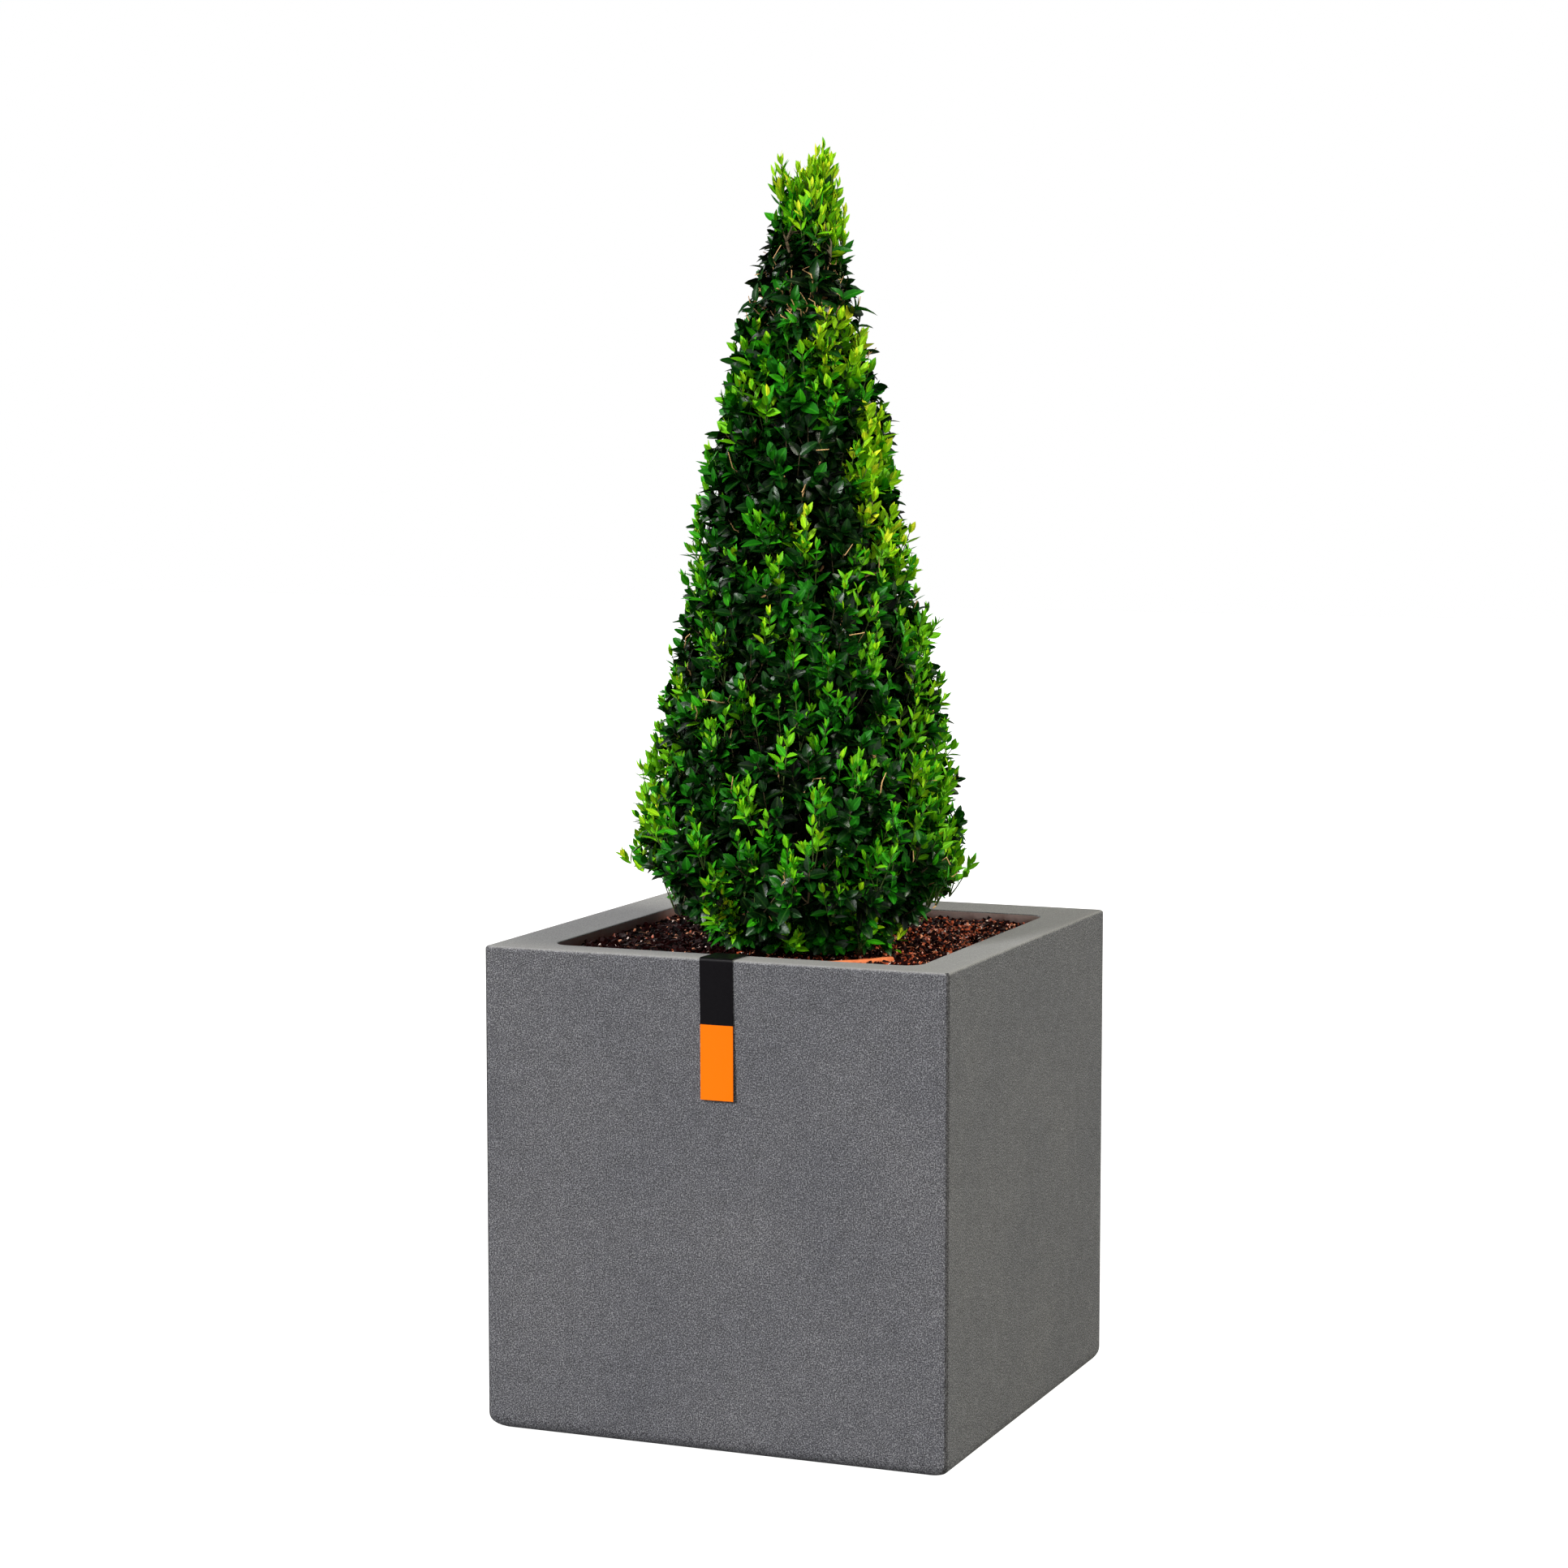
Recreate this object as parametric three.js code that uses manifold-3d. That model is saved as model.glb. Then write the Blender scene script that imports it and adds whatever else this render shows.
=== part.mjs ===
// Boxwood cone topiary growing in a square planter, in millimetres, +Z up.
// The origin is the centre of the planter's flat underside, and the front faces -Y.
import * as THREE from "three";
import { mergeVertices } from "three/addons/utils/BufferGeometryUtils.js";
import Module from "manifold-3d";

const wasm = await Module();
wasm.setup();

// Clearances
const GAP = 0.3;
const TIER_GAP = 0.4;
const TAG_CLEARANCE = 0.5;
const LEAF_MARGIN = 2.4;
const LEAF_OVERREACH = 4;
// Edges much shorter than this are taken out after joining
const SLIVER_SIZE = 0.02;

// Planter: a cube with thick walls
const PLANTER_SIZE = 400;
const PLANTER_HALF = PLANTER_SIZE / 2;
const WALL = 41;
const FLOOR = 40;
const UPRIGHT_EDGE_RADIUS = 4;
const BOTTOM_EDGE_RADIUS = 13;
const RIM_OUTER_RADIUS = 2.5;
const RIM_INNER_RADIUS = 1.5;
const CAVITY_CORNER_RADIUS = 10;
const CAVITY_HALF = PLANTER_HALF - WALL;

// Potting mix, a little below the rim, slightly rough on top
const SOIL_LEVEL = 389;
const SOIL_ROUGHNESS = 1.6;
const SOIL_BACK_RISE = 3;
const SOIL_RINGS = 6;
const SOIL_FLAT_RADIUS = 34;

// Terracotta rim of the grower's pot, showing in the mix in front of the plant
const POT_RIM_RADIUS = 116;
const POT_RIM_THICKNESS = 6;
const POT_RIM_DEPTH = 14;
const POT_RIM_PROUD = 2.6;
const POT_RIM_FROM_DEG = -76;
const POT_RIM_TO_DEG = -27;

// Blank tag that hooks over the front rim
const TAG_WIDTH = 28;
const TAG_THICKNESS = 0.8;
const TAG_DROP = 112;
const TAG_HANG_OUT = 2.6;
const TAG_CENTRE_X = 4.9;
const TAG_INNER_DROP = 7;
const TAG_SKEW_DOWN = 0.015;
const TAG_SKEW_BACK = -0.085;

// Plant: where its stem stands, how it leans and how tall it is
const PLANT_X = 6;
const PLANT_Y = -26;
const PLANT_TOP = 1055;
const LEAN_X = 5;
const LEAN_Y = 2;

// Stem: flared foot on the mix, slender tip inside the top tuft
const STEM_TOP = 985;
const STEM_FOOT_RADIUS = 15;
const STEM_FLARE_HEIGHT = 26;
const STEM_RADIUS = 9;
const STEM_TIP_RADIUS = 2.6;
const STEM_SIDES = 8;

// Crown outline: a rounded skirt, a nearly straight cone and a blunt tuft
const FOOT_RADIUS = 79;
const SKIRT_Z = 461;
const SKIRT_RADIUS = 139;
const TUFT_Z = 1006;
const TUFT_RADIUS = 31;
const TUFT_ROUNDING = 0.85;
const BELLY = 4;

// Dense inside of the crown, which the leaves stand out of
const CORE_SIDES = 16;
const CORE_SHARE = 0.92;
const CORE_INSET = 14;
const CORE_TOP = 1012;
const CORE_TOP_RADIUS = 5;
const CORE_BOTTOM = 401;
const CORE_RING_STEP = 24;
const CORE_JITTER = 0.05;

// The crown's masses meet on nested cones that open upward at this slope
const TIER_SLOPE = 0.7;
const TIERS = [
  { name: "foliage_skirt", from: null, to: 470, shoots: 55, seed: 11 },
  { name: "foliage_middle", from: 470, to: 664, shoots: 42, seed: 23 },
  { name: "foliage_upper", from: 664, to: 858, shoots: 29, seed: 39 },
  { name: "foliage_tip", from: 858, to: null, shoots: 20, seed: 53 },
];

// Upright shoots of the top tuft: direction, distance from the axis and distance below the plant's top
const LEADERS = [
  { angle: 0.2, out: 11, drop: 0 },
  { angle: 2.4, out: 14, drop: 13 },
  { angle: 4.3, out: 16, drop: 19 },
];

// Shoots and leaves
const GOLDEN_ANGLE = Math.PI * (3 - Math.sqrt(5));
const LEAF_LENGTH = 42;
const TOP_LEAF_SHARE = 0.64;
const LEAF_WIDTH_SHARE = 0.6;
const LEAF_CUP_SHARE = 0.1;
const LEAF_THICKNESS = 2.2;
const LEAF_SINK = 0.6;
const LOW_PAIR_OPENING_DEG = 58;
const HIGH_PAIR_OPENING_DEG = 38;
const TIP_LEAF_SHARE = 0.62;
const TWIG_RADIUS = 2.2;
const TWIG_TIP_RADIUS = 1.8;
const TWIG_SINK = 9;
const SHOOT_LENGTH = 20;
const FOOT_RISE_DEG = -22;
const SIDE_RISE_DEG = 42;
const TUFT_RISE_DEG = 76;

const UP = new THREE.Vector3(0, 0, 1);

function seededRandom(seed) {
  let state = seed >>> 0;
  return () => {
    state = (state + 0x6d2b79f5) >>> 0;
    let mixed = Math.imul(state ^ (state >>> 15), state | 1);
    mixed ^= mixed + Math.imul(mixed ^ (mixed >>> 7), mixed | 61);
    return ((mixed ^ (mixed >>> 14)) >>> 0) / 4294967296;
  };
}

function between(random, low, high) {
  return low + (high - low) * random();
}

// Centre of the plant at a height, following its lean
function plantAxis(z) {
  const share = (z - SOIL_LEVEL) / (PLANT_TOP - SOIL_LEVEL);
  return new THREE.Vector3(PLANT_X + LEAN_X * share, PLANT_Y + LEAN_Y * share, z);
}

// Point at a distance and direction from a centre, in the centre's own level
function around(centre, radius, angle) {
  const offset = new THREE.Vector3(Math.cos(angle), Math.sin(angle), 0);
  return offset.multiplyScalar(radius).add(centre);
}

function aroundPlant(radius, angle, z) {
  return around(plantAxis(z), radius, angle);
}

// Radius that the furthest leaf tips reach at a height
function crownRadius(z) {
  if (z <= SKIRT_Z) {
    const rise = THREE.MathUtils.smoothstep(z, SOIL_LEVEL, SKIRT_Z);
    return FOOT_RADIUS + (SKIRT_RADIUS - FOOT_RADIUS) * rise;
  }
  if (z <= TUFT_Z) {
    const share = (z - SKIRT_Z) / (TUFT_Z - SKIRT_Z);
    const belly = BELLY * Math.sin(Math.PI * Math.sqrt(share));
    return THREE.MathUtils.lerp(SKIRT_RADIUS, TUFT_RADIUS, share) + belly;
  }
  const share = Math.min(1, (z - TUFT_Z) / (PLANT_TOP - TUFT_Z));
  return TUFT_RADIUS * Math.sqrt(1 - TUFT_ROUNDING * share * share);
}

function coreRadius(z) {
  return Math.max(CORE_TOP_RADIUS, crownRadius(z) * CORE_SHARE - CORE_INSET);
}

// Closed solid through rings of points, each ring anticlockwise from above at its first cap
function loft(rings) {
  const count = rings[0].length;
  const positions = rings.flat().flatMap((point) => [point.x, point.y, point.z]);
  const faces = [];
  for (let ring = 0; ring < rings.length - 1; ring += 1) {
    for (let side = 0; side < count; side += 1) {
      const next = (side + 1) % count;
      const low = ring * count;
      const high = low + count;
      faces.push(low + side, low + next, high + next);
      faces.push(low + side, high + next, high + side);
    }
  }
  const last = (rings.length - 1) * count;
  for (let side = 1; side < count - 1; side += 1) {
    faces.push(0, side + 1, side);
    faces.push(last, last + side, last + side + 1);
  }
  return indexedGeometry(positions, faces);
}

function indexedGeometry(positions, faces) {
  const geometry = new THREE.BufferGeometry();
  geometry.setAttribute("position", new THREE.Float32BufferAttribute(positions, 3));
  geometry.setIndex(faces);
  return geometry;
}

function extrude(shape, depth) {
  return new THREE.ExtrudeGeometry(shape, { depth, bevelEnabled: false, curveSegments: 8 });
}

function weld(geometry) {
  const bare = geometry.clone();
  bare.deleteAttribute("normal");
  bare.deleteAttribute("uv");
  return mergeVertices(bare, 1e-4);
}

function toSolid(geometry) {
  return new wasm.Manifold(new wasm.Mesh({
    numProp: 3,
    vertProperties: new Float32Array(geometry.attributes.position.array),
    triVerts: new Uint32Array(geometry.index.array),
  }));
}

function toGeometry(solid) {
  const mesh = solid.getMesh();
  return indexedGeometry(Array.from(mesh.vertProperties), Array.from(mesh.triVerts));
}

// Joins solids in pairs, so that no step works on the whole crown for one leaf
function joinAll(solids) {
  let joined = solids;
  while (joined.length > 1) {
    const pairs = [];
    for (let index = 0; index < joined.length; index += 2) {
      const partner = joined[index + 1];
      pairs.push(partner ? joined[index].add(partner) : joined[index]);
    }
    joined = pairs;
  }
  return joined[0];
}

// Loose scraps and sealed hollows are dropped
function largestPiece(solid) {
  return solid.decompose().reduce((best, piece) => (piece.volume() > best.volume() ? piece : best));
}

function circleRing(centre, radius, sides) {
  return Array.from({ length: sides }, (_, side) => around(centre, radius, (2 * Math.PI * side) / sides));
}

// Square ring with rounded corners, anticlockwise from above
function squareRing(half, radius, z, cornerSteps, sideSteps) {
  const points = [];
  for (let corner = 0; corner < 4; corner += 1) {
    const start = (corner * Math.PI) / 2;
    const reach = (half - radius) * Math.SQRT2;
    const centre = around(new THREE.Vector3(0, 0, z), reach, start + Math.PI / 4);
    for (let step = 0; step <= cornerSteps; step += 1) {
      points.push(around(centre, radius, start + (step / cornerSteps) * (Math.PI / 2)));
    }
    const from = points[points.length - 1];
    const along = new THREE.Vector3(-Math.sin(start + Math.PI / 2), Math.cos(start + Math.PI / 2), 0);
    const run = 2 * (half - radius);
    for (let step = 1; step < sideSteps; step += 1) {
      points.push(from.clone().addScaledVector(along, (run * step) / sideSteps));
    }
  }
  return points;
}

function planterGeometry() {
  const cornerSteps = 4;
  const ring = (half, radius, z) => squareRing(half, radius, z, cornerSteps, 1);
  const rings = [];
  const filletSteps = 4;
  for (let step = 0; step <= filletSteps; step += 1) {
    const turn = (step / filletSteps) * (Math.PI / 2);
    const inset = BOTTOM_EDGE_RADIUS * (1 - Math.sin(turn));
    const radius = UPRIGHT_EDGE_RADIUS + 0.5 * inset;
    rings.push(ring(PLANTER_HALF - inset, radius, BOTTOM_EDGE_RADIUS * (1 - Math.cos(turn))));
  }
  const edgeSteps = 3;
  for (let step = 0; step <= edgeSteps; step += 1) {
    const turn = (step / edgeSteps) * (Math.PI / 2);
    const inset = RIM_OUTER_RADIUS * (1 - Math.cos(turn));
    const z = PLANTER_SIZE - RIM_OUTER_RADIUS * (1 - Math.sin(turn));
    rings.push(ring(PLANTER_HALF - inset, UPRIGHT_EDGE_RADIUS, z));
  }
  for (let step = 0; step <= edgeSteps; step += 1) {
    const turn = (step / edgeSteps) * (Math.PI / 2);
    const half = CAVITY_HALF + RIM_INNER_RADIUS * (1 - Math.sin(turn));
    rings.push(ring(half, CAVITY_CORNER_RADIUS, PLANTER_SIZE - RIM_INNER_RADIUS * (1 - Math.cos(turn))));
  }
  rings.push(ring(CAVITY_HALF, CAVITY_CORNER_RADIUS, FLOOR));
  return loft(rings);
}

// Height of the mix: flat round the stem, rough further out, a little higher at the back
function soilHeight(x, y, random) {
  const fromStem = Math.hypot(x - PLANT_X, y - PLANT_Y);
  const rough = THREE.MathUtils.smoothstep(fromStem, SOIL_FLAT_RADIUS, SOIL_FLAT_RADIUS * 2);
  const rise = SOIL_BACK_RISE * THREE.MathUtils.smoothstep(y, CAVITY_HALF * 0.3, CAVITY_HALF);
  return SOIL_LEVEL - GAP + rise - rough * SOIL_ROUGHNESS * random();
}

function soilGeometry() {
  const random = seededRandom(5);
  const half = CAVITY_HALF - GAP;
  const radius = CAVITY_CORNER_RADIUS - GAP;
  const rings = [squareRing(half, radius, FLOOR + GAP, 2, 6)];
  for (let ring = SOIL_RINGS; ring > 0; ring -= 1) {
    const share = ring / SOIL_RINGS;
    const points = squareRing(half * share, radius * share, 0, 2, 6);
    points.forEach((point) => {
      point.z = soilHeight(point.x, point.y, random);
    });
    rings.push(points);
  }
  return toGeometry(toSolid(loft(rings)).subtract(toSolid(potRimGeometry(GAP))));
}

// Stretch of a round rim, grown on all sides by a clearance
function potRimGeometry(grow) {
  const top = SOIL_LEVEL + POT_RIM_PROUD + (grow > 0 ? PLANTER_SIZE : 0);
  const shape = new THREE.Shape();
  const turn = grow / POT_RIM_RADIUS;
  const from = THREE.MathUtils.degToRad(POT_RIM_FROM_DEG) - turn;
  const to = THREE.MathUtils.degToRad(POT_RIM_TO_DEG) + turn;
  shape.absarc(0, 0, POT_RIM_RADIUS + grow, from, to, false);
  shape.absarc(0, 0, POT_RIM_RADIUS - POT_RIM_THICKNESS - grow, to, from, true);
  const bottom = SOIL_LEVEL - POT_RIM_DEPTH - grow;
  const geometry = extrude(shape, top - bottom);
  geometry.translate(PLANT_X, PLANT_Y, bottom);
  return weld(geometry);
}

// Tag outline seen from the side: down the front, over the rim, a short way down inside
function tagSide(offset) {
  const front = -PLANTER_HALF - offset;
  const top = PLANTER_SIZE + offset;
  const back = -CAVITY_HALF + offset;
  const points = [
    new THREE.Vector2(front - TAG_HANG_OUT, PLANTER_SIZE - TAG_DROP),
    new THREE.Vector2(front - TAG_HANG_OUT * 0.3, PLANTER_SIZE - TAG_DROP * 0.5),
  ];
  const bendSteps = 3;
  for (let step = 0; step <= bendSteps; step += 1) {
    const turn = (step / bendSteps) * (Math.PI / 2);
    const radius = RIM_OUTER_RADIUS;
    points.push(new THREE.Vector2(
      front + radius * (1 - Math.cos(turn)),
      top - radius * (1 - Math.sin(turn)),
    ));
  }
  points.push(new THREE.Vector2(back - RIM_INNER_RADIUS, top));
  points.push(new THREE.Vector2(back, top - RIM_INNER_RADIUS));
  points.push(new THREE.Vector2(back, PLANTER_SIZE - TAG_INNER_DROP));
  return points;
}

function tagGeometry() {
  const outline = tagSide(TAG_CLEARANCE).concat(tagSide(TAG_CLEARANCE + TAG_THICKNESS).reverse());
  const geometry = extrude(new THREE.Shape(outline), TAG_WIDTH);
  const position = geometry.attributes.position;
  for (let index = 0; index < position.count; index += 1) {
    const y = position.getX(index);
    const z = position.getY(index);
    const skew = TAG_SKEW_DOWN * (PLANTER_SIZE - z) + TAG_SKEW_BACK * (y + PLANTER_HALF);
    position.setXYZ(index, TAG_CENTRE_X - TAG_WIDTH / 2 + position.getZ(index) + skew, y, z);
  }
  return weld(geometry);
}

function stemRadius(z) {
  const foot = 1 - THREE.MathUtils.smoothstep(z, SOIL_LEVEL, SOIL_LEVEL + STEM_FLARE_HEIGHT);
  const share = (z - SOIL_LEVEL) / (STEM_TOP - SOIL_LEVEL);
  return THREE.MathUtils.lerp(STEM_RADIUS, STEM_TIP_RADIUS, share) + (STEM_FOOT_RADIUS - STEM_RADIUS) * foot;
}

// Tapering stem with a flared foot, grown on all sides by a clearance
function stemGeometry(grow) {
  const heights = [0, 0.25, 0.5, 0.75, 1].map((share) => SOIL_LEVEL + STEM_FLARE_HEIGHT * share);
  const climbSteps = 6;
  const start = SOIL_LEVEL + STEM_FLARE_HEIGHT;
  for (let step = 1; step <= climbSteps; step += 1) {
    heights.push(start + ((STEM_TOP - start) * step) / climbSteps);
  }
  const rings = heights.map((z) => circleRing(plantAxis(z), stemRadius(z) + grow, STEM_SIDES));
  rings[rings.length - 1].forEach((point) => point.setZ(point.z + grow));
  return loft(rings);
}

// Height of the many-sided cone on which two masses of the crown meet
function tierFace(apex, point) {
  const centre = plantAxis(point.z);
  const dx = point.x - centre.x;
  const dy = point.y - centre.y;
  const sector = (2 * Math.PI) / CORE_SIDES;
  const within = THREE.MathUtils.euclideanModulo(Math.atan2(dy, dx), sector) - sector / 2;
  const facetRadius = (Math.hypot(dx, dy) * Math.cos(within)) / Math.cos(sector / 2);
  return apex + TIER_SLOPE * facetRadius;
}

// A mass's own space: within the crown's outline, above the mix and between its two meeting cones
function insideTier(tier, point) {
  const centre = plantAxis(point.z);
  const radius = Math.hypot(point.x - centre.x, point.y - centre.y);
  const withinOutline = radius < crownRadius(point.z) + LEAF_OVERREACH;
  const aboveFrom = tier.from === null || point.z > tierFace(tier.from, point) + LEAF_MARGIN;
  const belowTo = tier.to === null || point.z < tierFace(tier.to, point) - LEAF_MARGIN;
  const height = SOIL_LEVEL + LEAF_MARGIN + SOIL_BACK_RISE;
  return withinOutline && aboveFrom && belowTo && point.z > height && point.z <= PLANT_TOP;
}

// Height at which a mass's conical end meets the core's side
function coreEdge(apex) {
  let z = apex;
  while (z < apex + TIER_SLOPE * coreRadius(z)) {
    z += 0.5;
  }
  return z;
}

// Core outline from bottom to top, with a cone towards the axis where the next mass meets it
function coreProfile(tier) {
  const bottom = tier.from === null ? CORE_BOTTOM : coreEdge(tier.from);
  const top = tier.to === null ? CORE_TOP : coreEdge(tier.to);
  const steps = Math.round((top - bottom) / CORE_RING_STEP);
  const profile = Array.from({ length: steps + 1 }, (_, step) => {
    const z = THREE.MathUtils.lerp(bottom, top, step / steps);
    return { radius: coreRadius(z), z, jitter: step > 0 && step < steps ? CORE_JITTER : 0 };
  });
  if (tier.from !== null) {
    profile[0].z += TIER_GAP / 2;
    profile.unshift({ radius: 1, z: tier.from + TIER_SLOPE + TIER_GAP / 2, jitter: 0 });
  }
  if (tier.to !== null) {
    profile[profile.length - 1].z -= TIER_GAP / 2;
    profile.push({ radius: 1, z: tier.to + TIER_SLOPE - TIER_GAP / 2, jitter: 0 });
  }
  return profile;
}

function coreSolid(tier, random) {
  const rings = coreProfile(tier).map(({ radius, z, jitter }) => {
    const ring = circleRing(plantAxis(z), 1, CORE_SIDES);
    return ring.map((point) => {
      const reach = radius * (1 + between(random, -jitter, jitter));
      return point.sub(plantAxis(z)).multiplyScalar(reach).add(plantAxis(z));
    });
  });
  return toSolid(loft(rings));
}

// Leaf of eight faces: a long octahedron, cupped along its midrib
function leafPoints(root, along, normal, length) {
  const across = new THREE.Vector3().crossVectors(along, normal).normalize();
  const middle = root.clone().addScaledVector(along, length * 0.48);
  const halfWidth = (length * LEAF_WIDTH_SHARE) / 2;
  const edge = (side) => middle.clone()
    .addScaledVector(across, side * halfWidth)
    .addScaledVector(normal, length * LEAF_CUP_SHARE);
  return {
    base: root.clone().addScaledVector(along, -LEAF_SINK),
    tip: root.clone().addScaledVector(along, length),
    right: edge(1),
    left: edge(-1),
    top: middle.clone().addScaledVector(normal, LEAF_THICKNESS / 2),
    under: middle.clone().addScaledVector(normal, -LEAF_THICKNESS / 2),
  };
}

function leafSolid({ base, tip, right, left, top, under }) {
  const positions = [base, right, tip, left, top, under].flatMap((point) => point.toArray());
  const faces = [0, 1, 4, 1, 2, 4, 2, 3, 4, 3, 0, 4, 1, 0, 5, 2, 1, 5, 3, 2, 5, 0, 3, 5];
  return toSolid(indexedGeometry(positions, faces));
}

// Three-sided tapering twig
function twigSolid(from, to, radius, tipRadius) {
  const along = new THREE.Vector3().subVectors(to, from).normalize();
  const turn = new THREE.Quaternion().setFromUnitVectors(UP, along);
  const ring = (centre, size) => circleRing(new THREE.Vector3(), size, 3)
    .map((point) => point.applyQuaternion(turn).add(centre));
  return toSolid(loft([ring(from, radius), ring(to, tipRadius)]));
}

// A leaf turns its face outward and a little up, towards the light
function leafFacing(random, root, blade) {
  const centre = plantAxis(root.z);
  const light = new THREE.Vector3().subVectors(root, centre).normalize();
  light.x += between(random, -0.4, 0.4);
  light.y += between(random, -0.4, 0.4);
  light.z += between(random, 0.1, 0.7);
  light.addScaledVector(blade, -light.dot(blade));
  return light.normalize();
}

// Two pairs of leaves, the second a quarter turn on from the first, and one leaf at the tip
function shootLeaves(random, start, direction, leafLength) {
  const leaves = [];
  const firstSide = new THREE.Vector3().crossVectors(direction, UP).normalize()
    .applyAxisAngle(direction, between(random, -0.5, 0.5));
  const pairs = [
    { along: SHOOT_LENGTH * 0.35, opening: LOW_PAIR_OPENING_DEG },
    { along: SHOOT_LENGTH * 0.9, opening: HIGH_PAIR_OPENING_DEG },
  ];
  pairs.forEach(({ along, opening }, pair) => {
    const side = firstSide.clone().applyAxisAngle(direction, (pair * Math.PI) / 2);
    const root = start.clone().addScaledVector(direction, along);
    for (const sign of [1, -1]) {
      const spread = THREE.MathUtils.degToRad(opening + between(random, -7, 7));
      const outward = side.clone().multiplyScalar(sign);
      const blade = direction.clone()
        .multiplyScalar(Math.cos(spread))
        .addScaledVector(outward, Math.sin(spread));
      const facing = leafFacing(random, root, blade);
      leaves.push(leafPoints(root, blade, facing, leafLength * between(random, 0.88, 1.05)));
    }
  });
  const top = start.clone().addScaledVector(direction, SHOOT_LENGTH);
  leaves.push(leafPoints(top, direction, leafFacing(random, top, direction), leafLength * TIP_LEAF_SHARE));
  return leaves;
}

// How far shoots rise above the horizontal: they hang at the foot and stand upright at the tip
function shootRise(z, random) {
  const skirt = THREE.MathUtils.smoothstep(z, SOIL_LEVEL, SKIRT_Z);
  const tuft = THREE.MathUtils.smoothstep(z, TUFT_Z - 120, PLANT_TOP - 10);
  const side = THREE.MathUtils.lerp(FOOT_RISE_DEG, SIDE_RISE_DEG, skirt);
  const rise = THREE.MathUtils.lerp(side, TUFT_RISE_DEG, tuft);
  return THREE.MathUtils.degToRad(rise + between(random, -8, 8));
}

// A shoot's tip lies on the crown's outline and its twig runs back until it is well inside the core
function shootSolids(tier, random, tip, swing, rise) {
  const direction = new THREE.Vector3(
    Math.cos(swing) * Math.cos(rise),
    Math.sin(swing) * Math.cos(rise),
    Math.sin(rise),
  );
  const climb = (tip.z - SOIL_LEVEL) / (PLANT_TOP - SOIL_LEVEL);
  const leafLength = LEAF_LENGTH * THREE.MathUtils.lerp(1, TOP_LEAF_SHARE, climb);
  const end = tip.clone().addScaledVector(direction, -leafLength * TIP_LEAF_SHARE);
  const start = end.clone().addScaledVector(direction, -SHOOT_LENGTH);
  const foot = rootInCore(start, direction);
  if (foot === null || !insideTier(tier, foot) || !insideTier(tier, end)) {
    return [];
  }
  const leaves = shootLeaves(random, start, direction, leafLength)
    .filter((leaf) => Object.values(leaf).every((point) => insideTier(tier, point)))
    .map(leafSolid);
  return [twigSolid(foot, end, TWIG_RADIUS, TWIG_TIP_RADIUS), ...leaves];
}

function sideShoots(tier, random) {
  return shootHeights(tier).flatMap((z, index) => {
    const angle = index * GOLDEN_ANGLE + tier.seed;
    const tip = aroundPlant(crownRadius(z) * between(random, 0.92, 0.98), angle, z);
    return shootSolids(tier, random, tip, angle + between(random, -0.25, 0.25), shootRise(z, random));
  });
}

// The leading shoots stand upright from the top of the core and reach the plant's full height
function leadingShoots(tier, random) {
  return LEADERS.flatMap(({ angle, out, drop }) => {
    const tip = aroundPlant(out, angle, PLANT_TOP - drop);
    return shootSolids(tier, random, tip, angle, THREE.MathUtils.degToRad(84));
  });
}

function coreDepth(point) {
  const centre = plantAxis(point.z);
  const side = coreRadius(point.z) - Math.hypot(point.x - centre.x, point.y - centre.y);
  return Math.min(side, CORE_TOP - point.z, point.z - CORE_BOTTOM + TWIG_SINK / 2);
}

function rootInCore(start, direction) {
  const longest = 70;
  const wanted = Math.min(TWIG_SINK, coreRadius(start.z) * 0.5);
  for (let back = 0; back < longest; back += 1) {
    const point = start.clone().addScaledVector(direction, -back);
    if (coreDepth(point) >= wanted) {
      return point;
    }
  }
  return null;
}

// Heights of a mass's shoots, so that each has the same share of the crown's surface
function shootHeights(tier) {
  const low = tier.from === null ? SOIL_LEVEL + 8 : coreEdge(tier.from) + 12;
  const high = tier.to === null ? TUFT_Z + 16 : coreEdge(tier.to) + 12;
  const slices = 400;
  const step = (high - low) / slices;
  const areas = Array.from({ length: slices }, (_, index) => crownRadius(low + step * (index + 0.5)) + 3);
  const share = areas.reduce((sum, area) => sum + area, 0) / tier.shoots;
  const heights = [];
  let filled = share / 2;
  areas.forEach((area, index) => {
    filled += area;
    if (filled >= share) {
      filled -= share;
      heights.push(low + step * (index + 0.5));
    }
  });
  return heights;
}

function foliageGeometry(tier) {
  const random = seededRandom(tier.seed);
  const solids = [coreSolid(tier, random), ...sideShoots(tier, random)];
  if (tier.to === null) {
    solids.push(...leadingShoots(tier, random));
  }
  const joined = joinAll(solids).subtract(toSolid(stemGeometry(GAP)));
  return toGeometry(largestPiece(joined.simplify(SLIVER_SIZE)));
}

function material(color, roughness) {
  return new THREE.MeshStandardMaterial({ color, roughness, metalness: 0 });
}

function part(name, geometry, look) {
  const mesh = new THREE.Mesh(geometry, look);
  mesh.name = name;
  return mesh;
}

function planterGroup() {
  const group = new THREE.Group();
  group.add(part("planter", planterGeometry(), material(0x6e6d72, 0.85)));
  group.add(part("potting_mix", soilGeometry(), material(0x4a2c20, 0.95)));
  group.add(part("grower_pot_rim", potRimGeometry(0), material(0xe0703c, 0.8)));
  group.add(part("rim_tag", tagGeometry(), material(0x1e1c20, 0.4)));
  return group;
}

function plantGroup() {
  const group = new THREE.Group();
  const green = material(0x2f6a1c, 0.5);
  group.add(part("stem", stemGeometry(0), material(0x6b5a3c, 0.9)));
  TIERS.forEach((tier) => {
    group.add(part(tier.name, foliageGeometry(tier), green.clone()));
  });
  return group;
}

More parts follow.
